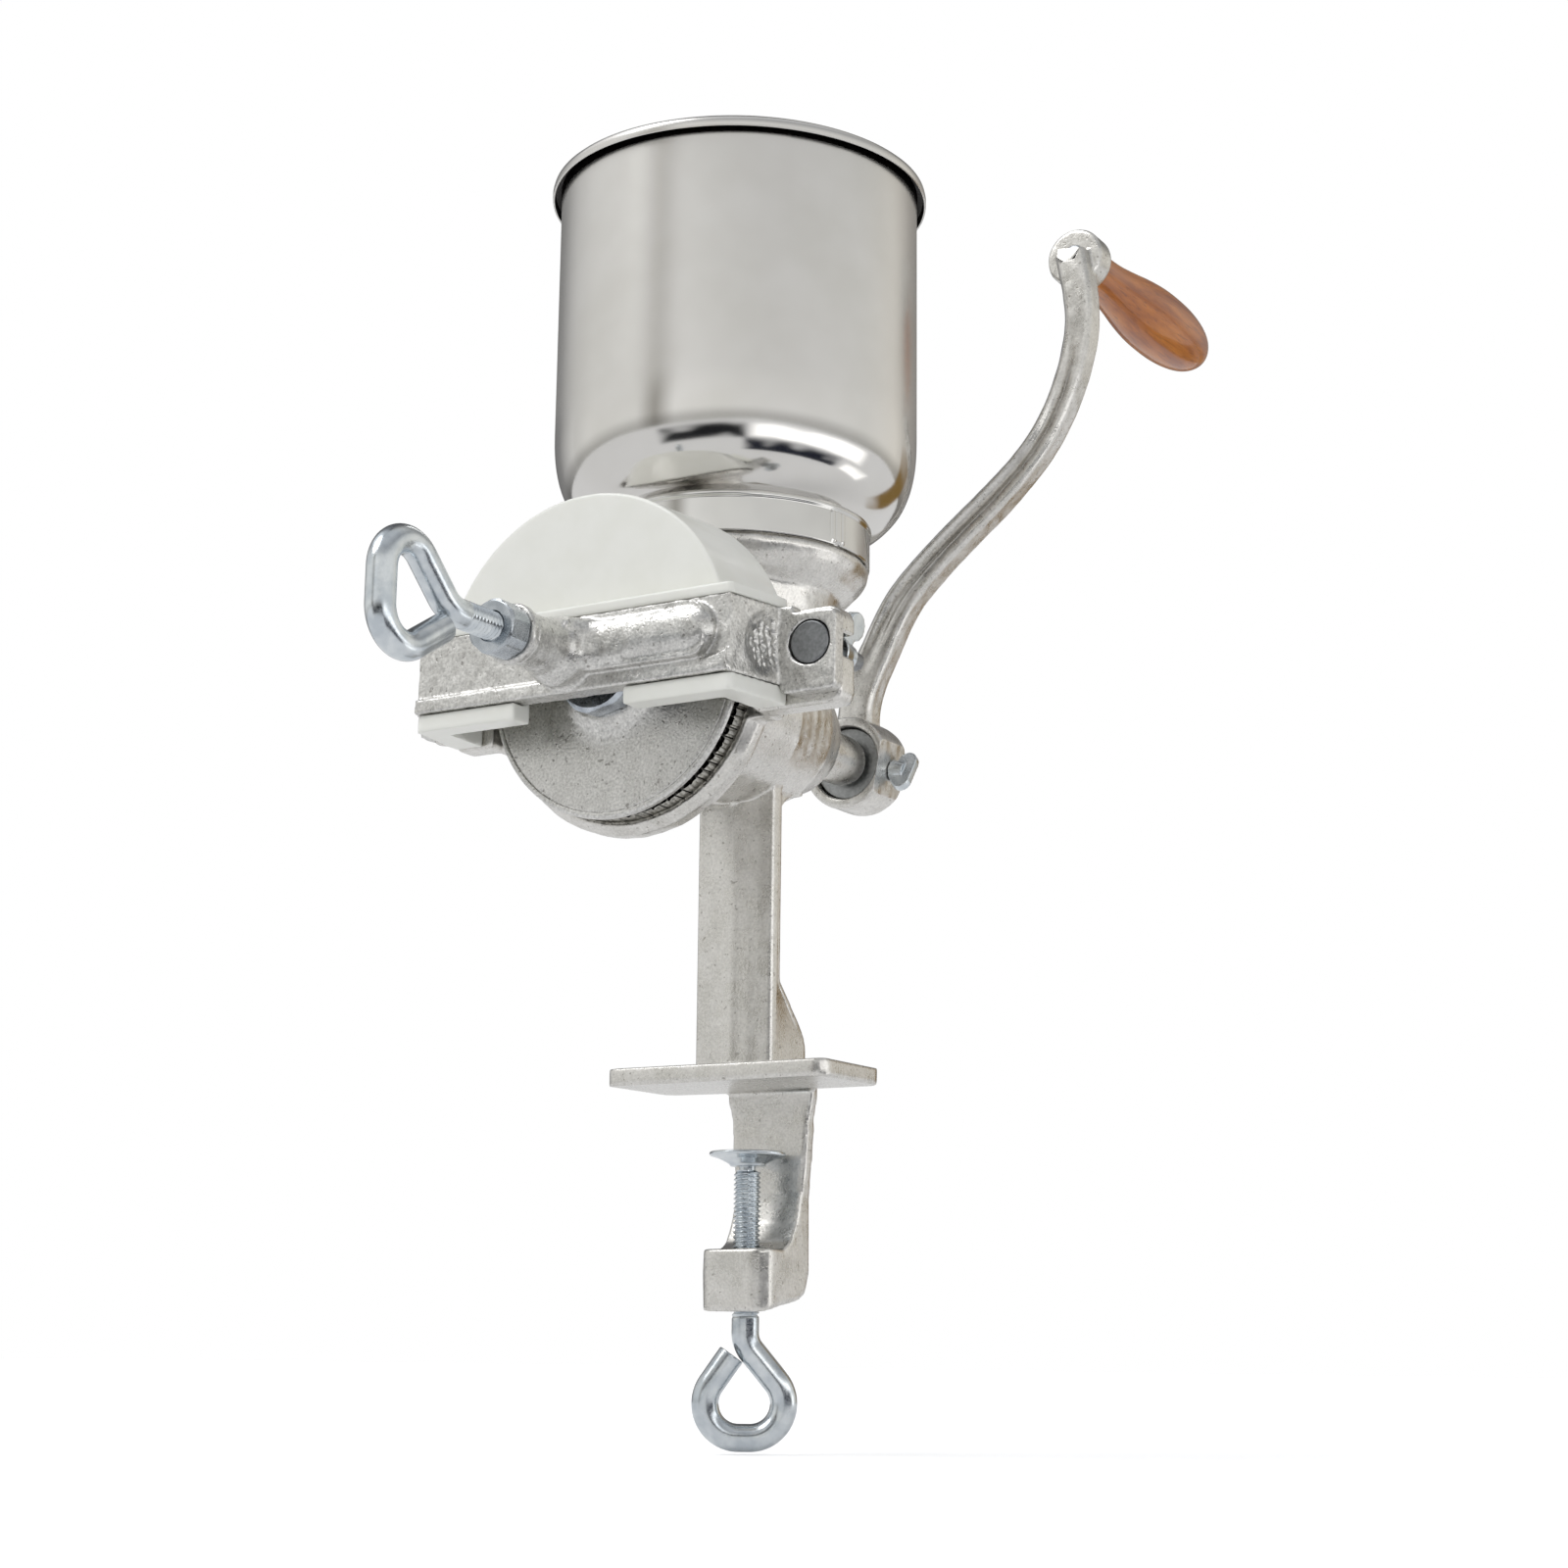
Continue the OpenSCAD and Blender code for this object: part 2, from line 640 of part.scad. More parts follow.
// The arm's centre line and half width, as shares of its reach and of its width
arm_shares = [
    [-0.03, 0.02, 0.6], [-0.045, 0.1, 0.56], [-0.02, 0.165, 0.54], [0.05, 0.235, 0.53], [0.165, 0.333, 0.52],
    [0.31, 0.403, 0.5], [0.465, 0.463, 0.49], [0.61, 0.516, 0.48], [0.735, 0.566, 0.45], [0.842, 0.62, 0.43],
    [0.92, 0.677, 0.42], [0.977, 0.736, 0.42], [1.014, 0.79, 0.42], [1.036, 0.85, 0.42], [1.03, 0.92, 0.44], [1, 1, 0.46],
];
arm_line = smooth_path([for (p = arm_shares) [p[0] * throw_x, p[1] * throw_z, p[2] * arm_w]], 3);
function unit(v) = v / norm(v);
function across(i) = let (
    d = unit([for (k = [0, 1]) arm_line[min(i + 1, len(arm_line) - 1)][k] - arm_line[max(i - 1, 0)][k]]))
    [-d.y, d.x];
module arm_outline(width_share, from, to) {
    ids = [for (i = [from:to]) i];
    left = [for (i = ids) [arm_line[i][0], arm_line[i][1]] + across(i) * arm_line[i][2] * width_share];
    right = [for (k = [len(ids) - 1:-1:0]) let (i = ids[k])
        [arm_line[i][0], arm_line[i][1]] - across(i) * arm_line[i][2] * width_share];
    polygon(concat(left, right));
}

spindle_lip = 1;
module crank_arm() {
    edge = 1.5;
    last = len(arm_line) - 1;
    channel = 1.8;
    color("#b3b2ad") translate([0, 0, axis_h]) difference() {
        union() {
            turned_y([
                [0, crank_front], [hub_d / 2 - edge, crank_front], [hub_d / 2, crank_front + edge],
                [hub_d / 2, crank_front + hub_l - 3 * edge], [hub_d / 2 - 3 * edge, crank_front + hub_l],
                [0, crank_front + hub_l],
            ]);
            plate_xz(arm_front, arm_t) arm_outline(1, 0, last);
            plate_xz(arm_front - edge, arm_t) arm_outline(0.7, 0, last);
            translate([throw_x, 0, throw_z]) rod_y(grip_boss_front, grip_boss_l, grip_boss_d);
        }
        plate_xz(arm_front - edge - over, over + channel) arm_outline(0.3, 12, last - 4);
        rod_y(crank_front - over, recess_depth + over, hub_recess_d);
        rod_y(crank_front, hub_l + over, journal_d + 2 * run_clear);
        translate([throw_x, 0, throw_z]) {
            rod_y(grip_boss_front - over, grip_boss_l + 2 * over, spindle_d + 2 * run_clear);
            // The spindle's riveted head lies in a spot face where the arm meets the boss
            rod_y(arm_front - edge - over, grip_boss_front - arm_front + edge + over, spindle_d + 2 * (spindle_lip + lie_clear));
        }
        rotate([0, thumb_lean, 0]) translate([0, thumb_y, 0]) {
            rotate([0, 90, 0]) cylinder(h = hub_d, d = thumb_d + 2 * run_clear);
            translate([thumb_flat, -hub_l, -hub_d / 3]) cube([hub_d, 2 * hub_l, hub_d * 0.67]);
        }
    }
}

module thumb_screw() {
    wing_l = 17;
    wing_t = 3.4;
    wing_h = 9.6;
    wing_r = 4;
    neck_d = 9;
    start = journal_d / 2 - flat_depth + lie_clear;
    seat = thumb_flat + lie_clear;
    color("#b9bfc6") translate([0, thumb_y, axis_h]) rotate([0, 90 + thumb_lean, 0]) rotate(-thumb_turn) difference() {
        union() {
            translate([0, 0, start]) cylinder(h = seat - start + over, d = thumb_d, $fn = 48);
            translate([0, 0, seat]) cylinder(h = wing_h * 0.6, d1 = neck_d, d2 = neck_d * 0.8);
            // One rounded grip plate, as long as a fingertip is wide
            translate([0, wing_t / 2, seat]) rotate([90, 0, 0]) linear_extrude(wing_t) union() {
                for (side = [-1, 1]) translate([side * (wing_l / 2 - wing_r), wing_h - wing_r]) circle(wing_r);
                translate([wing_r - wing_l / 2, wing_h - 2 * wing_r]) square([wing_l - 2 * wing_r, 2 * wing_r]);
            }
        }
    }
}

grip_shares = [
    [0, 0.54], [0.03, 0.58], [0.12, 0.6], [0.22, 0.67], [0.32, 0.78], [0.42, 0.89], [0.52, 0.97], [0.62, 1],
    [0.72, 0.98], [0.81, 0.91], [0.88, 0.78], [0.935, 0.58], [0.975, 0.34], [1, 0.16],
];
module grip() {
    points = smooth_path([for (p = grip_shares) [p[1] * grip_d / 2, p[0] * grip_l]], 2);
    bore = spindle_d + 2 * run_clear;
    head_seat = grip_l * 0.9;
    color("#c9792e") translate([throw_x, grip_front, axis_h + throw_z]) difference() {
        turned_y(concat([[0, 0]], points, [[0, grip_l]]));
        rod_y(-over, head_seat + over, bore);
    }
}

module grip_spindle() {
    head = 1.4;
    color("#8f9296") translate([throw_x, 0, axis_h + throw_z]) {
        rod_y(grip_boss_front - head, head, spindle_d + 2 * spindle_lip);
        rod_y(grip_boss_front - over / 2, grip_front - grip_boss_front + grip_l * 0.88, spindle_d);
    }
}

module grip_washer() {
    color("#3a3431") translate([throw_x, grip_boss_back, axis_h + throw_z]) difference() {
        rod_y(0, grip_washer_t, grip_boss_d * 0.8);
        rod_y(-over, grip_washer_t + 2 * over, spindle_d + 2 * run_clear);
    }
}

// Yoke, guard and their fasteners

tab_t = 6;
tab_front = ear_front - tab_t;
arm_spread = 4.6;
tab_in = bar_half_w + arm_spread;
bolt_web = 2;
tab_end = 10;
tab_out = bolt_x + tab_end;
tab_below = 17;
tab_above = 11;
tab_low = axis_h - tab_below;
tab_top = axis_h + tab_above;
arm_wall = bar_reach - lie_clear;
knuckle_clear = 0.4;
module yoke() {
    rib_end = 8;
    rib_drop = 2;
    root_l = 8;
    root_lip = 2;
    foot_lip = 1.2;
    taper_l = 14;
    rib = 5;
    rib_r = 5;
    strip = 3.5;
    hook_wall = 4;
    hook_out = knuckle_d / 2 + knuckle_clear + hook_wall;
    color("#c9c8c4") difference() {
        union() {
            plate_xz(bar_front, bar_t) soft_rect([-bar_half_w, bar_low], [bar_half_w, bar_top], cast_r);
            // The raised rib beside the boss, and the lower strip along the bar
            plate_xz(bar_front - rib, bar_t) soft_rect([0, bar_low + strip * 1.6], [bar_half_w - rib_end, bar_top - rib_drop], rib_r);
            plate_xz(bar_front - strip / 2, bar_t) soft_rect([-bar_half_w, bar_low], [bar_half_w, bar_low + strip], strip / 2.1);
            translate([0, 0, bar_low]) linear_extrude(bar_h) polygon([
                [bar_half_w - arm_wall, bar_back], [bar_half_w - arm_wall, bar_front], [bar_half_w, bar_front],
                [tab_in, tab_front], [tab_in + arm_wall, tab_front], [tab_in + arm_wall, ear_front],
                [tab_in - arm_wall, ear_front],
            ]);
            plate_xz(tab_front, ear_front - tab_front) soft_rect([tab_in + lie_clear, tab_low], [tab_out, tab_top], cast_r);
            translate([0, 0, axis_h]) turned_y([
                [0, boss_front], [boss_d / 2 - turned_edge, boss_front], [boss_d / 2, boss_front + turned_edge],
                [boss_d / 2, bar_front - taper_l], [boss_d / 2 + root_lip, bar_front - root_l],
                [boss_d / 2 + foot_lip, bar_front], [boss_d / 2 + foot_lip, bar_back - over], [0, bar_back - over],
            ]);
            // The left arm runs back to a hook round the ear's knuckle
            translate([0, 0, bar_low]) linear_extrude(bar_h) polygon([
                [-bar_half_w + arm_wall, bar_back], [-bar_half_w + arm_wall, bar_front], [-bar_half_w, bar_front],
                [pivot_x - hook_out * 0.9, ear_front - turned_edge], [pivot_x - hook_out * 0.85, pivot_y],
                [pivot_x - knuckle_d / 2, pivot_y], [pivot_x, ear_front - lie_clear],
            ]);
            translate([pivot_x, pivot_y, bar_low]) cylinder(h = bar_h, r = hook_out);
        }
        translate([pivot_x, pivot_y, bar_low - over]) cylinder(h = bar_h + 2 * over, d = knuckle_d + 2 * knuckle_clear);
        translate([pivot_x + knuckle_d * 0.36, ear_front - lie_clear, bar_low - over])
            cube([bar_half_w / 2, ear_t * 2, bar_h + 2 * over]);
        translate([bolt_x, 0, axis_h]) {
            rod_y(tab_front - over, ear_front - tab_front - bolt_web + over, bolt_head_d + 2 * lie_clear);
            rod_y(tab_front - over, ear_front - tab_front + 2 * over, bolt_d + 2 * run_clear);
        }
        translate([0, 0, axis_h]) rod_y(boss_front - over, boss_l + bar_t + 2 * over, adjust_rod_d + 2 * run_clear);
    }
}

guard_flare = 1.9;
guard_back_r = guard_r + guard_flare;
guard_front = bar_back + lie_clear;
low_lip_t = 6;
top_lip_t = 4;
guard_low = bar_low - lie_clear - low_lip_t;
gap_half_w = 23;
lip_spread = 0.6;
module guard_hood(inset) {
    front = guard_front + inset;
    depth = guard_d - inset;
    r1 = guard_r - inset;
    r2 = guard_back_r - inset;
    translate([0, 0, axis_h]) rod_y(front, depth + (inset > 0 ? over : 0), 2 * r1, 2 * r2);
    translate([0, 0, guard_low - (inset > 0 ? over : 0)]) linear_extrude(axis_h - guard_low + (inset > 0 ? over : 0))
        polygon([[-r1, front], [r1, front], [r2, front + depth + (inset > 0 ? over : 0)],
            [-r2, front + depth + (inset > 0 ? over : 0)]]);
}

module guard_lip(low, high, inner) {
    lip = 5;
    rear = ear_front - lie_clear;
    translate([0, 0, low]) linear_extrude(high - low) for (side = [-1, 1]) mirror([side < 0 ? 1 : 0, 0]) polygon([
        [inner, bar_front - lie_clear], [bar_half_w - turned_edge, bar_front - lie_clear],
        [bar_half_w + lip_spread, bar_front + turned_edge], [tab_in, tab_front + turned_edge], [tab_in, rear], [tab_in - lip * 1.6, rear],
        [guard_r - guard_wall, guard_front + lip * 2], [guard_r - guard_wall, guard_front + guard_wall], [inner, guard_front + guard_wall],
    ]);
}

module guard() {
    ear_play = 4;
    skin = 0.2;
    color("#e8e8e4") difference() {
        union() {
            difference() {
                guard_hood(0);
                guard_hood(guard_wall);
            }
            guard_lip(bar_top + lie_clear, bar_top + lie_clear + top_lip_t, 0);
            guard_lip(guard_low, bar_low - lie_clear, gap_half_w);
        }
        // The hood is open below, and the ears pass behind its sides
        translate([-2 * guard_r, guard_front - over, guard_low - 2 * guard_r])
            cube([4 * guard_r, guard_d + 3 * over, 2 * guard_r]);
        translate([-gap_half_w, bar_front - over, guard_low - over])
            cube([2 * gap_half_w, bar_t + guard_wall + 2 * over, low_lip_t + bar_h - 2 * over]);
        for (side = [-1, 1]) translate([side > 0 ? ear_in - ear_play : -ear_in + ear_play - bar_half_w, ear_front - lie_clear, guard_low - over])
            cube([bar_half_w, guard_d, ear_top - guard_low + over + lie_clear]);
        translate([0, 0, axis_h]) rod_y(guard_front + guard_wall, guard_d, 2 * (guard_r - guard_wall - skin));
    }
}

bolt_proud = 17;
bolt_end = ear_front + ear_t + bolt_proud;
module yoke_bolt() {
    color("#4b4d50") translate([bolt_x, 0, axis_h]) {
        rod_y(tab_front, ear_front - tab_front - bolt_web, bolt_head_d);
        rod_y(ear_front - bolt_web - over, bolt_end - ear_front + bolt_web + over, bolt_d);
    }
}

module wing_nut() {
    seat = ear_front + ear_t + lie_clear;
    base_d = 13;
    base_l = 6;
    collar_l = 5;
    wing_t = 3.6;
    color("#b9bfc6") translate([bolt_x, seat, axis_h]) difference() {
        union() {
            rod_y(0, base_l, base_d, base_d * 0.8);
            rod_y(base_l - over, collar_l, base_d * 0.72);
            rotate([0, -80, 0]) translate([0, 0, -wing_t / 2]) linear_extrude(wing_t) for (side = [-1, 1])
                mirror([side < 0 ? 1 : 0, 0]) union() {
                    polygon([[0, base_l * 0.4], [base_d * 0.5, base_l * 0.3], [base_d * 1.1, base_l * 1.4],
                        [base_d * 0.8, base_l * 2.3], [base_d * 0.3, base_l * 1.5], [0, base_l * 1.5]]);
                    translate([base_d * 0.88, base_l * 1.8]) circle(base_l * 0.85, $fn = 40);
                }
        }
        rod_y(-over, base_l * 4, bolt_d + 2 * run_clear);
    }
}

module adjusting_screw() {
    free_thread_l = 9;
    shank_l = 8.5;
    thread_end = lock_nut_front - free_thread_l;
    bend_y = thread_end - shank_l;
    adjust_eye_shares = [0.7, 0.66, 0.94];
    thread_l = screw_tip_y - thread_end;
    color("#b4bac1") translate([0, 0, axis_h]) {
        translate([0, thread_end, 0]) rotate([-90, 0, 0]) thread_z(adjust_rod_d, adjust_pitch, thread_l);
        rod_y(bend_y - weld_lap, thread_end - bend_y + 2 * weld_lap, adjust_rod_d - 2 * weld_step);
        translate([0, bend_y, 0]) rotate([-90, 0, 0]) rotate([0, 0, 90]) mirror([1, 0, 0])
            rod_eye(adjust_rod_d, adjust_eye_w, adjust_eye_shares, 44, 32);
    }
}

module lock_nut() {
    color("#8f959c") translate([0, 0, axis_h]) difference() {
        intersection() {
            rotate([0, 20, 0]) rod_y(lock_nut_front, lock_nut_t, lock_nut_af / cos(30), $fn = 6);
            nut_turning(lock_nut_front, lock_nut_t, lock_nut_af);
        }
        rod_y(lock_nut_front - over, lock_nut_t + 2 * over, adjust_rod_d + 2 * run_clear);
    }
}

module thrust_ball() {
    color("#9fa4aa") translate([0, ball_y, axis_h]) sphere(d = ball_d);
}

// Clamp screw and pressure pad

pad_t = 1.4;
pad_depth = 5.4;
pin_d = 6;
pin_l = 3.4;
screw_top = -pad_drop - pad_depth - lie_clear;
module clamp_screw() {
    shank_l = 5;
    clamp_eye_shares = [0.7, 0.85, 0.85];
    color("#b4bac1") translate([0, clamp_y, 0]) {
        translate([0, 0, screw_top - clamp_screw_l + shank_l])
            thread_z(clamp_rod_d, clamp_pitch, clamp_screw_l - shank_l);
        translate([0, 0, screw_top - clamp_screw_l - weld_lap])
            cylinder(h = shank_l + 2 * weld_lap, d = clamp_rod_d - 2 * weld_step);
        translate([0, 0, screw_top - over]) cylinder(h = pin_l + over, d = pin_d, $fn = 48);
        rotate([0, 0, eye_turn]) translate([0, 0, screw_top - clamp_screw_l]) rod_eye(clamp_rod_d, clamp_eye_w, clamp_eye_shares, 40, 35);
    }
}

module clamp_pad() {
    foot_d = 12.4;
    foot_lip = 0.6;
    color("#bcc2c9") translate([0, clamp_y, -pad_drop]) difference() {
        rotate_extrude() polygon([
            [0, 0], [pad_d / 2 - pad_t / 3, 0], [pad_d / 2, -pad_t / 3], [pad_d / 2, -pad_t],
            [pad_d * 0.36, -pad_depth * 0.5], [foot_d / 2 + foot_lip, -pad_depth * 0.82], [foot_d / 2, -pad_depth], [0, -pad_depth],
        ]);
        translate([0, 0, -pad_depth - over]) cylinder(h = pin_l + over, d = pin_d + 2 * run_clear, $fn = 48);
    }
}

// Hopper

module hopper_cup() {
    bowl_r = hopper_d / 2;
    neck_r = collar_d / 2 - collar_wall - neck_fit;
    turn_r = 24;
    neck_step = 3;
    flare_l = 3;
    flare_w = 1;
    neck_low = collar_foot + neck_step;
    shoulder_z = collar_foot + collar_h;
    flare_z = shoulder_z + neck_fit;
    turn_z = flare_z + bowl_r - turn_r * (1 - cos(45)) - neck_r + turn_r * sin(45);
    rim_z = rim_top - rim_wire_d / 2;
    outer = concat(
        [[neck_r, neck_low], [neck_r, flare_z]],
        [for (a = [-45:7.5:0]) [bowl_r - turn_r + turn_r * cos(a), turn_z + turn_r * sin(a)]],
        [[bowl_r, rim_z - flare_l], [bowl_r + flare_w, rim_z]]
    );
    inner = concat(
        [[bowl_r + flare_w - sheet_t, rim_z], [bowl_r - sheet_t, rim_z - flare_l]],
        [for (a = [0:-7.5:-45]) [bowl_r - turn_r + (turn_r - sheet_t) * cos(a), turn_z + (turn_r - sheet_t) * sin(a)]],
        [[neck_r - sheet_t, flare_z + sheet_t * 0.4], [neck_r - sheet_t, neck_low]]
    );
    color("#c8c4be") {
        rotate_extrude($fn = 128) polygon(concat(outer, inner));
        translate([0, 0, rim_z]) rotate_extrude($fn = 128)
            translate([bowl_r + rim_wire_d / 2 - sheet_t * 1.5, 0]) circle(d = rim_wire_d, $fn = 32);
    }
}

module hopper_collar() {
    r = collar_d / 2;
    seam_w = 3;
    seam_angle = -10;
    bead = 0.7;
    bead_h = 2;
    seam_step = 0.5;
    color("#cfcbc4") {
        translate([0, 0, collar_foot]) rotate_extrude($fn = 128) polygon([
            [r - collar_wall, 0], [r, 0], [r, collar_h - bead_h], [r + bead, collar_h - bead_h * 0.6],
            [r + bead, collar_h - bead_h * 0.25], [r, collar_h], [r - collar_wall, collar_h],
        ]);
        rotate([0, 0, seam_angle]) translate([r - collar_wall / 2, -seam_w / 2, collar_foot + seam_step])
            cube([collar_wall, seam_w, collar_h - bead_h - 3 * seam_step]);
    }
}

body_casting();
fixed_plate();
hopper_cup();
hopper_collar();
feed_auger();
drive_shaft();
disc_carrier();
turning_plate();
hub_nut();
thrust_washer();
crank_arm();
thumb_screw();
grip_spindle();
grip_washer();
grip();
yoke();
guard();
yoke_bolt();
wing_nut();
adjusting_screw();
lock_nut();
thrust_ball();
clamp_screw();
clamp_pad();
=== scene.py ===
"""Looks of a hand grain mill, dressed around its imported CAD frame.

Every length in this file is in millimetres until a mesh is made, in the frame of the CAD model: +X to the
crank's side, -Y to the grinding disc, +Z up, and the underside of the table plate at z = 0.
"""

import json
import logging
import math
from dataclasses import dataclass, field
from enum import Enum
from typing import Callable, Optional, Sequence

import bmesh
import bpy
import numpy as np
from mathutils import Matrix, Vector

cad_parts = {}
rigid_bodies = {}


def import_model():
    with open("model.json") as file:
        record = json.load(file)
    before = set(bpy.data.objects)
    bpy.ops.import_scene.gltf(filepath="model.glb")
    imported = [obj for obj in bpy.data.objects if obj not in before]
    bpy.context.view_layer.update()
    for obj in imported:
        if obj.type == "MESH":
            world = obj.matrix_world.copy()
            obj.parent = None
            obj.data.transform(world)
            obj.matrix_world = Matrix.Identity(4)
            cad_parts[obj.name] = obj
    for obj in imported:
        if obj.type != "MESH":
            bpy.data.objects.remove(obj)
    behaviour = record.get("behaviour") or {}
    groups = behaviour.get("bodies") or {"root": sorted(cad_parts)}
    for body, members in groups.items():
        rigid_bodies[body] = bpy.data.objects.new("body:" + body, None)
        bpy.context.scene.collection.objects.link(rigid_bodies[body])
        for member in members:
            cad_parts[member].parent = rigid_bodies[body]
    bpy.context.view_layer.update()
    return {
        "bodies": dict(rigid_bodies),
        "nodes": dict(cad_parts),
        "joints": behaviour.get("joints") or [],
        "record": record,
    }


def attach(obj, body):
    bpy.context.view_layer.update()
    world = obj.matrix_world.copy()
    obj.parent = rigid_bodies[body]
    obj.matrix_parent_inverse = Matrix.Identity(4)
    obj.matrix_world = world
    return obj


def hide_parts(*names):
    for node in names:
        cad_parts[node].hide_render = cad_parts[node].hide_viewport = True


log = logging.getLogger("grain_mill")
Array = np.ndarray
Tree, Socket, Node = bpy.types.NodeTree, bpy.types.NodeSocket, bpy.types.Node
MM = 0.001
AXIS_H = 138.0
TURN = 2.0 * math.pi


# Shapes


def unit(value: Array) -> Array:
    """Holds values between 0 and 1."""
    return np.clip(value, 0, 1)


def capped(rows: Array) -> Array:
    """Closes a tube of rows at both ends, with rows that lie in the middles of the end rows."""
    return np.vstack([rows[:1] * 0 + rows[0].mean(0), rows, rows[:1] * 0 + rows[-1].mean(0)])


def off_shaft(p: Array) -> tuple:
    """Gives each point's offset from the shaft's line, in x and z, and its distance from it."""
    off = p[:, (0, 2)] - [0, AXIS_H]
    return off, np.maximum(np.linalg.norm(off, axis=1), 1e-6)


def pushed_out(p: Array, amount: Array) -> Array:
    """Moves each point away from the shaft's line by its amount."""
    off, far = off_shaft(p)
    p = p.copy()
    p[:, (0, 2)] += off / far[:, None] * amount[:, None]
    return p


def add_thing(name: str, data: bpy.types.ID) -> bpy.types.Object:
    """Puts an object with its data into the scene."""
    thing = bpy.data.objects.new(name, data)
    bpy.context.scene.collection.objects.link(thing)
    return thing


def evaluated(thing: bpy.types.Object) -> bpy.types.Mesh:
    """Gives the mesh that an object's modifiers make of it."""
    return bpy.data.meshes.new_from_object(thing.evaluated_get(bpy.context.evaluated_depsgraph_get()))


def smooth_curve(points: Sequence[Sequence[float]], steps: int) -> Array:
    """Puts a smooth curve through points.

    Formula: a Catmull-Rom cubic between each two points, whose slope at a point is half the step from the
    point before it to the point after it.

    Args:
        points: the given points, each of any size.
        steps: how many parts each stretch is cut into.

    Returns:
        The points of the curve, ends included.
    """
    p = np.asarray(points, float)
    q = np.vstack([p[:1], p, p[-1:]])
    t = np.linspace(0, 1, steps, endpoint=False)[None, :, None]
    a, b, c, d = (q[i:len(q) - 3 + i][:, None, :] for i in range(4))
    body = 0.5 * (2 * b + (c - a) * t + (2 * a - 5 * b + 4 * c - d) * t ** 2
                  + (3 * b - a - 3 * c + d) * t ** 3)
    return np.vstack([body.reshape(-1, p.shape[1]), p[-1:]])


def rounded(points: Sequence[Sequence[float]], radius: float, closed: bool = False, steps: int = 5) -> Array:
    """Rounds the corners of an outline.

    Formula: each corner gives way to a quadratic curve from a point `radius` before it to one `radius`
    after it, with the corner as its control point; neither point goes past the middle of its side.

    Args:
        points: the outline's corners.
        radius: how far from the corner the curve starts.
        closed: whether the last corner joins the first.
        steps: how many parts each curve is cut into.

    Returns:
        The points of the rounded outline.
    """
    p = np.asarray(points, float)
    before, after = np.roll(p, 1, 0) - p, np.roll(p, -1, 0) - p
    la, lb = (np.maximum(np.linalg.norm(v, axis=1, keepdims=True), 1e-9) for v in (before, after))
    a = p + before / la * np.minimum(radius, la * 0.49)
    b = p + after / lb * np.minimum(radius, lb * 0.49)
    t = np.linspace(0, 1, steps)[None, :, None]
    curve = (1 - t) ** 2 * a[:, None] + 2 * t * (1 - t) * p[:, None] + t ** 2 * b[:, None]
    if closed:
        return curve.reshape(-1, p.shape[1])
    return np.vstack([p[:1], curve[1:-1].reshape(-1, p.shape[1]), p[-1:]])


def waves(points: Array, size: float, seed: int, count: int = 14) -> Array:
    """Gives a smooth random height at each point.

    Formula: the mean of sine waves of nearly the same length in seeded random directions and phases.

    Args:
        points: where the height is wanted.
        size: the wave length in millimetres.
        seed: which set of waves is used.
        count: how many waves are summed.

    Returns:
        Heights of about -1 to 1.
    """
    rng = np.random.default_rng(seed)
    heading = rng.normal(size=(count, 3))
    heading /= np.linalg.norm(heading, axis=1, keepdims=True) * size * rng.uniform(0.7, 1.4, (count, 1))
    return np.sin(TURN * (points @ heading.T + rng.uniform(0, 1, count))).sum(-1) / math.sqrt(count)


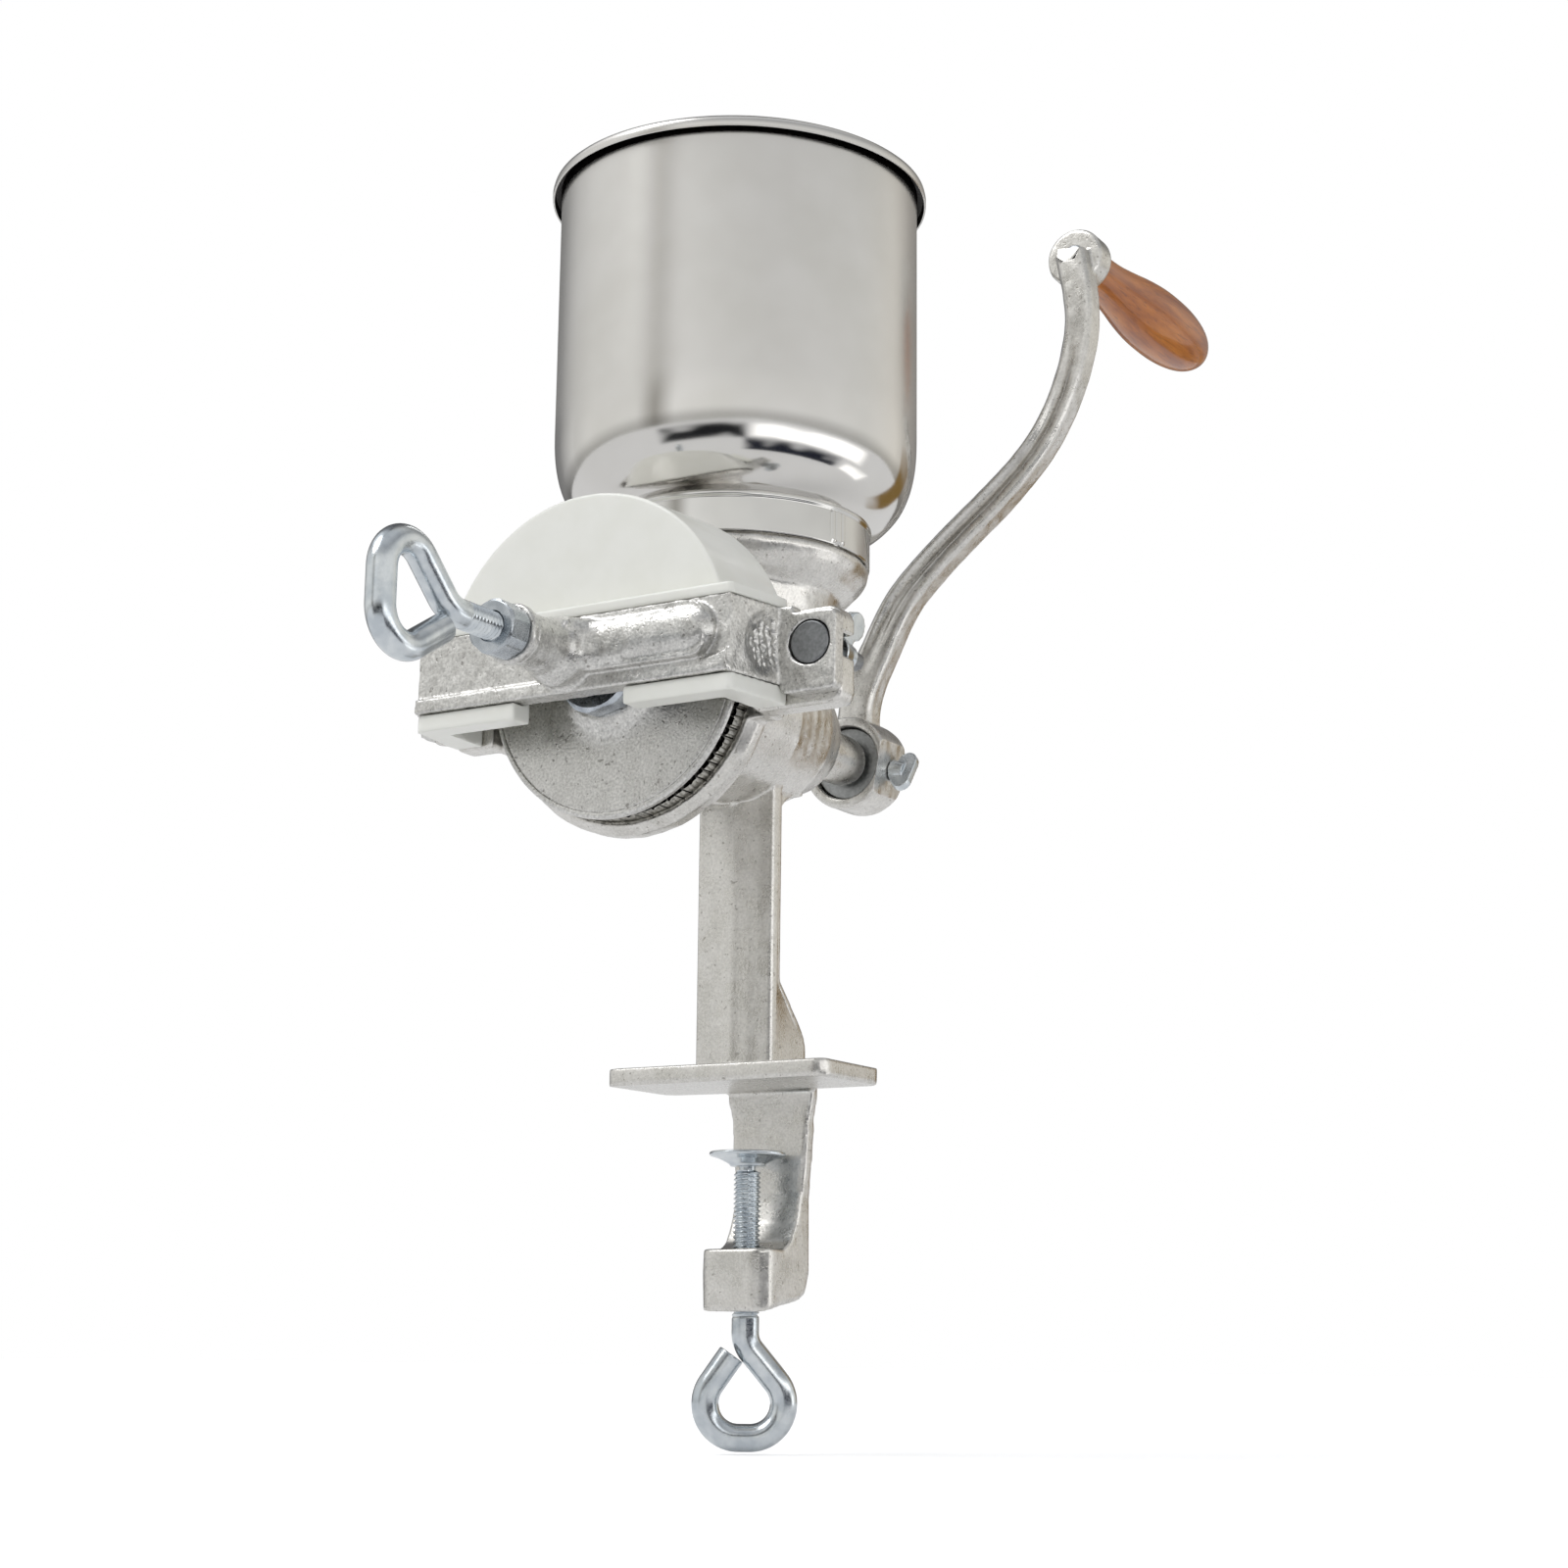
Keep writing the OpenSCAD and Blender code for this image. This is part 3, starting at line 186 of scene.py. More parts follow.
@dataclass
class Surface:
    """A mesh in millimetres as numbers: its points, and arrays of faces with three or four corners."""

    points: Array
    faces: list = field(default_factory=list)

    @staticmethod
    def grid(points: Array, wrap_rows: bool = False, wrap_columns: bool = False) -> "Surface":
        """Joins a grid of points with four-cornered faces.

        Args:
            points: the grid, rows by columns by three.
            wrap_rows: whether the last row joins the first.
            wrap_columns: whether the last column joins the first.

        Returns:
            The surface.
        """
        rows, columns = points.shape[:2]
        i = np.arange(rows if wrap_rows else rows - 1)[:, None]
        j = np.arange(columns if wrap_columns else columns - 1)[None, :]
        k, m = (i + 1) % rows, (j + 1) % columns
        corners = [i * columns + j, i * columns + m, k * columns + m, k * columns + j]
        return Surface(points.reshape(-1, 3), [np.stack([c.ravel() for c in corners], 1)])

    @staticmethod
    def of_mesh(mesh: bpy.types.Mesh) -> "Surface":
        """Reads a Blender mesh back as a surface in millimetres."""
        points = np.zeros(len(mesh.vertices) * 3)
        mesh.vertices.foreach_get("co", points)
        sizes = np.zeros(len(mesh.polygons), int)
        mesh.polygons.foreach_get("loop_total", sizes)
        corners = np.zeros(len(mesh.loops), int)
        mesh.loops.foreach_get("vertex_index", corners)
        starts = np.concatenate([[0], np.cumsum(sizes)[:-1]])
        faces = [corners[starts[sizes == n][:, None] + np.arange(n)] for n in (3, 4) if (sizes == n).any()]
        return Surface(points.reshape(-1, 3) / MM, faces)

    @staticmethod
    def join(parts: Sequence["Surface"]) -> "Surface":
        """Puts several surfaces into one, without joining their faces."""
        shifts = np.cumsum([0] + [len(p.points) for p in parts[:-1]])
        return Surface(np.vstack([p.points for p in parts]),
                       [f + s for p, s in zip(parts, shifts) for f in p.faces])

    def mesh(self, name: str) -> bpy.types.Mesh:
        """Makes a Blender mesh in metres, with poles and seams closed and faces pointing outwards."""
        mesh = bpy.data.meshes.new(name)
        mesh.from_pydata((self.points * MM).tolist(), [], [f for group in self.faces for f in group.tolist()])
        work = bmesh.new()
        work.from_mesh(mesh)
        bmesh.ops.remove_doubles(work, verts=work.verts, dist=2e-6)
        bmesh.ops.dissolve_degenerate(work, edges=work.edges, dist=1e-7)
        bmesh.ops.recalc_face_normals(work, faces=work.faces)
        work.to_mesh(mesh)
        work.free()
        return mesh

    def fused(self, voxel: float, smoothing: int, limit: int = 190000) -> "Surface":
        """Melts closed forms that lie in each other into one skin, as the metal of a casting flows together.

        Remeshing does what no single formula can: it makes the fillets where cast forms meet.

        Args:
            voxel: the size of the new faces in millimetres.
            smoothing: how many times the skin is relaxed, which sets the radius of its edges.
            limit: the most triangles that are kept.

        Returns:
            The new skin.
        """
        thing = add_thing("melt", self.mesh("melt"))
        remesh = thing.modifiers.new("remesh", "REMESH")
        remesh.mode, remesh.voxel_size = "VOXEL", voxel * MM
        relax = thing.modifiers.new("relax", "SMOOTH")
        relax.iterations, relax.factor = smoothing, 0.5
        skin = evaluated(thing)
        count = sum(max(len(p.vertices) - 2, 0) for p in skin.polygons)
        if count > limit:
            thing.modifiers.clear()
            thing.data = skin
            thin = thing.modifiers.new("thin", "DECIMATE")
            thin.ratio = limit / count
            skin = evaluated(thing)
        bpy.data.objects.remove(thing)
        return Surface.of_mesh(skin)

    def without(self, cutter: "Surface") -> "Surface":
        """Cuts a closed form out of this one.

        Args:
            cutter: the form that is taken away.

        Returns:
            What is left, in triangles.
        """
        body, tool = [add_thing("cut", s.mesh("cut")) for s in (self, cutter)]
        cut = body.modifiers.new("cut", "BOOLEAN")
        cut.operation, cut.solver, cut.object = "DIFFERENCE", "EXACT", tool
        body.modifiers.new("corners", "TRIANGULATE")
        left = Surface.of_mesh(evaluated(body))
        for thing in (body, tool):
            bpy.data.objects.remove(thing)
        return left

    def moved(self, change: Callable[[Array], Array]) -> "Surface":
        """Gives the surface with its points put through a function of whole arrays."""
        return Surface(change(self.points), self.faces)

    def roughened(self, height: float, size: float, seed: int) -> "Surface":
        """Gives the surface the gentle lumps of a sand casting.

        Formula: each point moves along its normal by `height` times the sum of random waves of length
        `size`.
        """
        mesh = self.mesh("lumps")
        normals = np.zeros(len(mesh.vertices) * 3)
        mesh.vertices.foreach_get("normal", normals)
        skin = Surface.of_mesh(mesh)
        skin.points = skin.points + normals.reshape(-1, 3) * (height * waves(skin.points, size, seed))[:, None]
        return skin


class Along(Enum):
    """The axis that a turned piece stands on."""

    Y = 1
    Z = 2


def turned(profile: Sequence[Sequence[float]], along: Along, centre: Sequence[float] = (0, 0, AXIS_H),
           steps: int = 160, closed: bool = False,
           swell: Optional[Callable[[Array, Array], Array]] = None) -> Surface:
    """Turns a profile round an axis.

    Formula: point(i, t) = centre + radius(i, t) * (cos t, sin t) across the axis + place(i) along it, where
    radius(i, t) is the profile's own radius plus swell(t, profile).

    Args:
        profile: rows of radius and place along the axis.
        along: the axis.
        centre: a point on the axis; its part along the axis is added to the places.
        steps: how many faces go round.
        closed: whether the profile's end joins its start, as in a ring.
        swell: gives what is added to the radius, for angles (1, steps) and profile rows (n, 1, 2).

    Returns:
        The surface.
    """
    p = np.asarray(profile, float)
    angle = np.linspace(0, TURN, steps, endpoint=False)[None, :]
    radius = p[:, :1] + np.zeros_like(angle)
    if swell is not None:
        radius = np.maximum(radius + swell(angle, p[:, None, :]), 0)
    place = p[:, 1:] + np.zeros_like(angle)
    a, b = radius * np.cos(angle), radius * np.sin(angle)
    order = (a, place, b) if along is Along.Y else (a, b, place)
    return Surface.grid(np.stack(order, 2) + np.asarray(centre, float), wrap_rows=closed, wrap_columns=True)


def rod(path: Array, radius: Array, plane: Sequence[float], around: int = 40,
        thread: Optional[tuple] = None) -> Surface:
    """Carries a round section along a flat path.

    Formula: point(s, a) = path(s) + r(s, a) * (cos a * n + sin a * b), where b is the plane's normal, t the
    path's direction and n = b x t, so that a rises as a right-hand turn about t. On a threaded stretch r is
    root + depth * ridge(frac(s / pitch - a / 2 pi)), which is a right-handed screw thread.

    Args:
        path: the middle line's points.
        radius: the rod's radius at each point; zero at an end closes it.
        plane: the normal of the plane that the path lies in.
        around: how many faces go round.
        thread: (pitch, depth, length along the path from its start), if the rod's start is threaded.

    Returns:
        The surface.
    """
    b = np.asarray(plane, float)
    step = np.gradient(path, axis=0)
    t = step / np.maximum(np.linalg.norm(step, axis=1, keepdims=True), 1e-9)
    n = np.cross(b, t)
    angle = np.linspace(0, TURN, around, endpoint=False)[None, :]
    r = np.asarray(radius, float)[:, None] + np.zeros_like(angle)
    if thread is not None:
        pitch, depth, length = thread
        s = np.concatenate([[0], np.cumsum(np.linalg.norm(np.diff(path, axis=0), axis=1))])[:, None]
        ridge = np.clip((1 - np.abs(2 * np.mod(s / pitch - angle / TURN, 1) - 1) - 0.14) / 0.72, 0, 1)
        fade = unit((length - s) / pitch)
        r = r - depth * (1 - ridge) * fade * (r > depth)
    ring = np.cos(angle)[..., None] * n[:, None, :] + np.sin(angle)[..., None] * b
    return Surface.grid(path[:, None, :] + r[..., None] * ring, wrap_columns=True)


def nut(across: float, front: float, length: float, bore: float, phase: float) -> Surface:
    """Makes a hexagon nut about the shaft's line, with the turned chamfer on its corners.

    Formula: the radius at angle t is the lesser of the hexagon, (across / 2) / cos(t mod 60 deg - 30 deg),
    and the cones that meet the nut's two faces at 0.475 of `across`.

    Args:
        across: distance across the flats.
        front: where the front face lies along Y.
        length: the nut's thickness.
        bore: its bore's diameter.
        phase: how far the flats are turned, in degrees.

    Returns:
        The surface.
    """
    h = np.concatenate([[0, 0, 0.1], np.linspace(0.2, length - 0.2, 30), [length - 0.1, length, length]])
    outer = np.full(len(h), across * 0.53)
    cone = across * 0.475 + np.minimum(h, length - h) * 1.7
    cone[0], cone[-1] = bore / 2 + 0.6, bore / 2 + 0.6
    profile = np.vstack([
        [[bore / 2, 0.6]], np.stack([np.minimum(outer, cone), h], 1), [[bore / 2, length - 0.6]]])
    turn = math.radians(phase)

    def hexagon(angle: Array, rows: Array) -> Array:
        """Takes from the radius what lies outside the hexagon, with slightly rounded corners."""
        flat = np.mod(angle - turn, math.pi / 3) - math.pi / 6
        side = across / 2 / np.cos(flat)
        return np.minimum(side - rows[..., 0], 0)

    profile[:, 1] += front
    return turned(profile, Along.Y, steps=240, closed=True, swell=hexagon)


# Finishes


def linear(code: str) -> tuple:
    """Turns an sRGB hex colour such as #C0C0C0 into linear RGBA."""
    c = np.array([int(code[i:i + 2], 16) for i in (1, 3, 5)]) / 255
    return (*np.where(c <= 0.04045, c / 12.92, ((c + 0.055) / 1.055) ** 2.4).tolist(), 1.0)


def add_node(tree: Tree, kind: str, settings: Optional[dict] = None,
             inputs: Optional[dict] = None) -> Node:
    """Adds a node.

    Args:
        tree: the node tree.
        kind: the node's type.
        settings: its properties; "stops" holds a colour ramp's (place, hex) pairs.
        inputs: by socket name or number, what it is linked to, a hex colour, or a value.

    Returns:
        The node.
    """
    node = tree.nodes.new(kind)
    for key, value in (settings or {}).items():
        if key == "stops":
            while len(node.color_ramp.elements) < len(value):
                node.color_ramp.elements.new(0.5)
            for element, (place, code) in zip(node.color_ramp.elements, value):
                element.position, element.color = place, linear(code)
        else:
            setattr(node, key, value)
    for key, value in (inputs or {}).items():
        if isinstance(value, Socket):
            tree.links.new(value, node.inputs[key])
        else:
            node.inputs[key].default_value = linear(value) if isinstance(value, str) else value
    return node


def mix(tree: Tree, share: object, low: object, high: object,
        blend: str = "MIX") -> Socket:
    """Mixes two colours by a share, and gives the mixed colour's socket."""
    return add_node(tree, "ShaderNodeMix", {"data_type": "RGBA", "blend_type": blend},
                    {0: share, 6: low, 7: high}).outputs[2]


def maths(tree: Tree, operation: str, *values: object) -> Socket:
    """Does one sum with its values, and gives the result's socket."""
    return add_node(tree, "ShaderNodeMath", {"operation": operation}, dict(enumerate(values))).outputs[0]


def span(tree: Tree, value: Socket, ends: Sequence[float]) -> Socket:
    """Spreads a value of 0..1 between two ends."""
    return add_node(tree, "ShaderNodeMapRange", inputs={
        "Value": value, "To Min": ends[0], "To Max": ends[1]}).outputs[0]


def raised(tree: Tree, height: Socket, strength: float,
           depth: float) -> Socket:
    """Raises a height of 0..1 as a bump of `depth` millimetres, and gives the normal's socket."""
    return add_node(tree, "ShaderNodeBump", inputs={
        "Height": height, "Strength": strength, "Distance": depth * MM}).outputs[0]


def principled(tree: Tree, colour: Socket, rough: object,
               **more: object) -> Node:
    """Builds a surface shader; a further input's name has _ where the socket's name has a space."""
    inputs = {"Base Color": colour, "Roughness": rough}
    inputs.update({key.replace("_", " "): value for key, value in more.items()})
    return add_node(tree, "ShaderNodeBsdfPrincipled", inputs=inputs)


def fresh_tree(owner: bpy.types.ID) -> Tree:
    """Empties the node tree of a material or a world."""
    owner.use_nodes = True
    owner.node_tree.nodes.clear()
    return owner.node_tree


def painted(name: str, shade: Callable[[Tree], Node]) -> bpy.types.Material:
    """Makes a material from a function that builds its shader."""
    made = bpy.data.materials.new(name)
    tree = fresh_tree(made)
    add_node(tree, "ShaderNodeOutputMaterial", inputs={"Surface": shade(tree).outputs[0]})
    return made


@dataclass(frozen=True)
class Finish:
    """What every finish has: its material's name and a way to build it once."""

    name: str

    def material(self) -> bpy.types.Material:
        """Gives the material, and makes it the first time."""
        return bpy.data.materials.get(self.name) or painted(self.name, lambda tree: self.shade(
            tree, add_node(tree, "ShaderNodeTexCoord").outputs["Object"]))

    def shade(self, tree: Tree, place: Socket) -> Node:
        """Builds the finish's own nodes and gives its shader."""
        raise NotImplementedError


def grain(tree: Tree, place: Socket, size: float, detail: float = 2.0,
          stretch: Sequence[float] = (1, 1, 1), contrast: Sequence[float] = (0.35, 0.65)) -> Socket:
    """Gives a noise pattern of a real size, spread to 0..1.

    Args:
        tree: the node tree.
        place: the coordinates.
        size: the pattern's size in millimetres.
        detail: how many finer layers it has.
        stretch: how much longer the pattern is along each axis.
        contrast: the noise values that become 0 and 1.

    Returns:
        The socket with the value.
    """
    scale = tuple(1.0 / (size * MM * s) for s in stretch)
    mapped = add_node(tree, "ShaderNodeMapping", inputs={"Vector": place, "Scale": scale})
    noise = add_node(tree, "ShaderNodeTexNoise", inputs={
        "Vector": mapped.outputs[0], "Scale": 1.0, "Detail": detail, "Roughness": 0.55})
    return add_node(tree, "ShaderNodeMapRange", inputs={
        "Value": noise.outputs[0], "From Min": contrast[0], "From Max": contrast[1]}).outputs[0]


@dataclass(frozen=True)
class TinnedCasting(Finish):
    """Sand-cast iron dipped in tin: bright satin metal whose sandy skin scatters small highlights.

    The tin pools into a soft mottle some 7 mm wide, and a few pits stay dark. The sand's grains are drawn
    0.95 mm wide so that they show.
    """

    light: str = "#D8D7D4"
    dark: str = "#C8C7C4"
    pit: str = "#6E6A64"
    shade_span: tuple = (0.76, 1.2)
    roughness: tuple = (0.26, 0.38)
    bump: float = 0.6

    def shade(self, tree: Tree, place: Socket) -> Node:
        """Mixes mottle, sand specks and pits, and raises the sand as a bump."""
        mottle = grain(tree, place, 7.0, 3.0)
        sand = grain(tree, place, 0.95, 2.0, contrast=(0.3, 0.7))
        rare = grain(tree, place, 1.7, 1.0, contrast=(0.68, 0.74))
        base = mix(tree, mottle, self.dark, self.light)
        speckled = mix(tree, 1.0, base, span(tree, sand, self.shade_span), "MULTIPLY")
        pitted = mix(tree, maths(tree, "MULTIPLY", rare, 0.6), speckled, self.pit)
        height = maths(tree, "SUBTRACT", sand, rare)
        return principled(tree, pitted, span(tree, mottle, self.roughness), Metallic=1.0,
                          Normal=raised(tree, height, self.bump, 0.1))


@dataclass(frozen=True)
class SpunSteel(Finish):
    """Stainless sheet, spun and polished: a satin wall with fine rings 0.6 mm wide, over a mirror foot.

    The wall is satin from 256 mm up, and the tighter curve below 238 mm stays polished.
    """

    light: str = "#DAD8D5"
    dark: str = "#D5D3CF"
    satin: float = 0.26
    mirror: float = 0.11

    def shade(self, tree: Tree, place: Socket) -> Node:
        """Clouds the sheet, and lets the roughness, with its polishing rings, fall towards the foot."""
        rings = grain(tree, place, 0.6, 3.0, (9000, 9000, 1))
        cloud = grain(tree, place, 28.0, 2.0)
        height = add_node(tree, "ShaderNodeSeparateXYZ", inputs={0: place})
        rough = add_node(tree, "ShaderNodeMapRange", {"interpolation_type": "SMOOTHSTEP"}, {
            "Value": height.outputs[2], "From Min": 238 * MM, "From Max": 256 * MM,
            "To Min": self.mirror, "To Max": self.satin})
        varied = maths(tree, "MULTIPLY_ADD", rings, 0.005, rough.outputs[0])
        return principled(tree, mix(tree, cloud, self.dark, self.light), varied, Metallic=1.0)


@dataclass(frozen=True)
class CloudedMetal(Finish):
    """Plain metal between two colours; cloud and marks hold a grain's size in mm and its detail."""

    light: str
    dark: str
    roughness: tuple
    bump: float
    cloud: tuple = (1.2, 3.0)
    marks: tuple = (1.2, 3.0)
    depth: float = 0.06

    def shade(self, tree: Tree, place: Socket) -> Node:
        """Clouds the metal between its two colours, and lets its marks set roughness and bump."""
        cloud, marks = (grain(tree, place, *one) for one in (self.cloud, self.marks))
        return principled(tree, mix(tree, cloud, self.dark, self.light), span(tree, marks, self.roughness),
                          Metallic=1.0, Normal=raised(tree, marks, self.bump, self.depth))


@dataclass(frozen=True)
class BareIron(CloudedMetal):
    """Hard iron or steel without a coat: grey, darker in its 1.2 mm grain, duller than the plated parts."""


@dataclass(frozen=True)
class ZincPlate(CloudedMetal):
    """Bright electroplated zinc: smooth and bluish, with a faint 6 mm cloud and 0.6 mm marks."""

    cloud: tuple = (6.0, 2.0)
    marks: tuple = (0.6, 3.0)
    depth: float = 0.05


@dataclass(frozen=True)
class MilkyPlastic(Finish):
    """Moulded milky polypropylene: soft white that light enters a little, with a waxy sheen."""

    light: str = "#F5F5EE"
    dark: str = "#F2F2EA"

    def shade(self, tree: Tree, place: Socket) -> Node:
        """Clouds the plastic faintly and lets light into it."""
        cloud, skin = grain(tree, place, 12.0, 2.0), grain(tree, place, 0.8, 2.0)
        return principled(
            tree, mix(tree, cloud, self.dark, self.light), 0.3, IOR=1.49, Coat_Weight=0.3, Coat_Roughness=0.1,
            Subsurface_Weight=0.12, Subsurface_Radius=(0.004, 0.004, 0.004), Subsurface_Scale=1.0,
            Normal=raised(tree, skin, 0.08, 0.05))


@dataclass(frozen=True)
class VarnishedWood(Finish):
    """Turned beech under orange-brown varnish: grain bands 5 mm wide under a clear glossy coat."""

    light: str = "#CC7A22"
    middle: str = "#B5640F"
    dark: str = "#9A4E0A"
    pore: str = "#7A3E12"

    def shade(self, tree: Tree, place: Socket) -> Node:
        """Runs the wood's grain along the grip, breaks it with short pores, and coats it."""
        bands = grain(tree, place, 5.0, 3.0, (1, 9, 1))
        pores = grain(tree, place, 0.7, 2.0, (1, 14, 1), (0.56, 0.7))
        base = add_node(tree, "ShaderNodeValToRGB", {"stops": [
            (0.0, self.dark), (0.45, self.middle), (1.0, self.light)]}, {0: bands}).outputs[0]
        flecked = mix(tree, maths(tree, "MULTIPLY", pores, 0.5), base, self.pore)
        return principled(tree, flecked, 0.42, IOR=1.5, Coat_Weight=0.7, Coat_Roughness=0.08,
                          Normal=raised(tree, pores, 0.08, -0.05))


TIN = TinnedCasting("tinned_iron_casting")
SMOOTH_TIN = TinnedCasting(
    "smooth_tinned_casting", "#DEDCD8", "#D0CEC9", "#8A867F", (0.88, 1.1), (0.24, 0.34), 0.32)
SHEET = SpunSteel("spun_stainless_sheet")
BAND = SpunSteel("polished_stainless_band", "#D6D5D2", "#CDCCC9", 0.12, 0.12)
ZINC = ZincPlate("bright_zinc_plate", "#DADFE2", "#C2C9CF", (0.17, 0.27), 0.06)
NUT_ZINC = ZincPlate("dull_zinc_plate", "#BFC4C9", "#A4AAB0", (0.22, 0.32), 0.06)
SPOTTED_ZINC = ZincPlate("spotted_zinc_plate", "#CDD3DA", "#A0A6AE", (0.16, 0.3), 0.2)
BOLT_STEEL = BareIron("blackened_steel_bolt", "#8E9092", "#7A7C7E", (0.3, 0.4), 0.1)
BURR = BareIron("hard_iron_grinding_plate", "#D8D6D0", "#A8A6A0", (0.3, 0.5), 0.3)
STEEL = BareIron("plain_turned_steel", "#A7A9AB", "#85878A", (0.25, 0.4), 0.1)
WASHER = BareIron("dull_steel_washer", "#B4B6B6", "#9A9C9C", (0.4, 0.5), 0.15)
# The washer at the grip's neck, drawn dark brown.
BLACK_STEEL = BareIron("dark_oiled_washer", "#4A423C", "#2E2926", (0.4, 0.6), 0.15)
WOOD = VarnishedWood("varnished_turned_beech")
# Oil, with painted shade: near-black for the sunk iron between the grinding plates' teeth.
OIL_AND_SHADE = BareIron("oily_iron_between_the_teeth", "#26231F", "#141210", (0.4, 0.6), 0.2)
# Painted shade: near-black for the faces in and under the hopper's turned-down rim, where only shade falls.
RIM_SHADE_PAINT = BareIron("shaded_sheet_inside_the_rim", "#2C2926", "#1A1817", (0.35, 0.5), 0.1)
PLASTIC = MilkyPlastic("moulded_polypropylene")


# Sub-assemblies


@dataclass
class SubAssembly:
    """A group of pieces that is built together."""

    frame: dict

    def cad(self, node: str) -> Surface:
        """Gives a copy of a CAD node's skin, with its loose triangles joined."""
        copy = self.frame["nodes"][node].data.copy()
        work = bmesh.new()
        work.from_mesh(copy)
        bmesh.ops.remove_doubles(work, verts=work.verts, dist=1e-6)
        work.to_mesh(copy)
        work.free()
        return Surface.of_mesh(copy)

    def place(self, name: str, surface: Surface, body: str, node: str, slot: str, finish: Finish,
              crease: float = 35.0) -> bpy.types.Object:
        """Makes a piece of the model from a surface.

        Args:
            name: the piece's name.
            surface: its shape.
            body: the CAD body that it rides on.
            node: the CAD node that it stands for.
            slot: the record's material slot; not used.
            finish: its finish.
            crease: edges sharper than this many degrees stay sharp.

        Returns:
            The object.
        """
        mesh = surface.mesh(name)
        mesh.polygons.foreach_set("use_smooth", [True] * len(mesh.polygons))
        mesh.set_sharp_from_angle(angle=math.radians(crease))
        mesh.materials.append(finish.material())
        thing = add_thing(name, mesh)
        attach(thing, body)
        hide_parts(node)
        log.info("%s: %d faces on %s", name, len(mesh.polygons), body)
        return thing

    def mark(self, thing: bpy.types.Object, finish: Finish, chosen: Callable[[Array], Array]) -> None:
        """Gives a second finish to the faces whose middles, in millimetres, are chosen."""
        mesh = thing.data
        mesh.materials.append(finish.material())
        middle = np.zeros(len(mesh.polygons) * 3)
        mesh.polygons.foreach_get("center", middle)
        picked = chosen(middle.reshape(-1, 3) / MM)
        mesh.polygons.foreach_set("material_index", picked.astype(int).tolist())

    def keep(self, node: str, finish: Finish) -> None:
        """Keeps a CAD node as it is and gives it a finish."""
        mesh = self.frame["nodes"][node].data
        mesh.materials.clear()
        mesh.materials.append(finish.material())
        log.info("%s: the CAD node stays", node)

    def build(self) -> None:
        """Builds and dresses the sub-assembly."""
        raise NotImplementedError


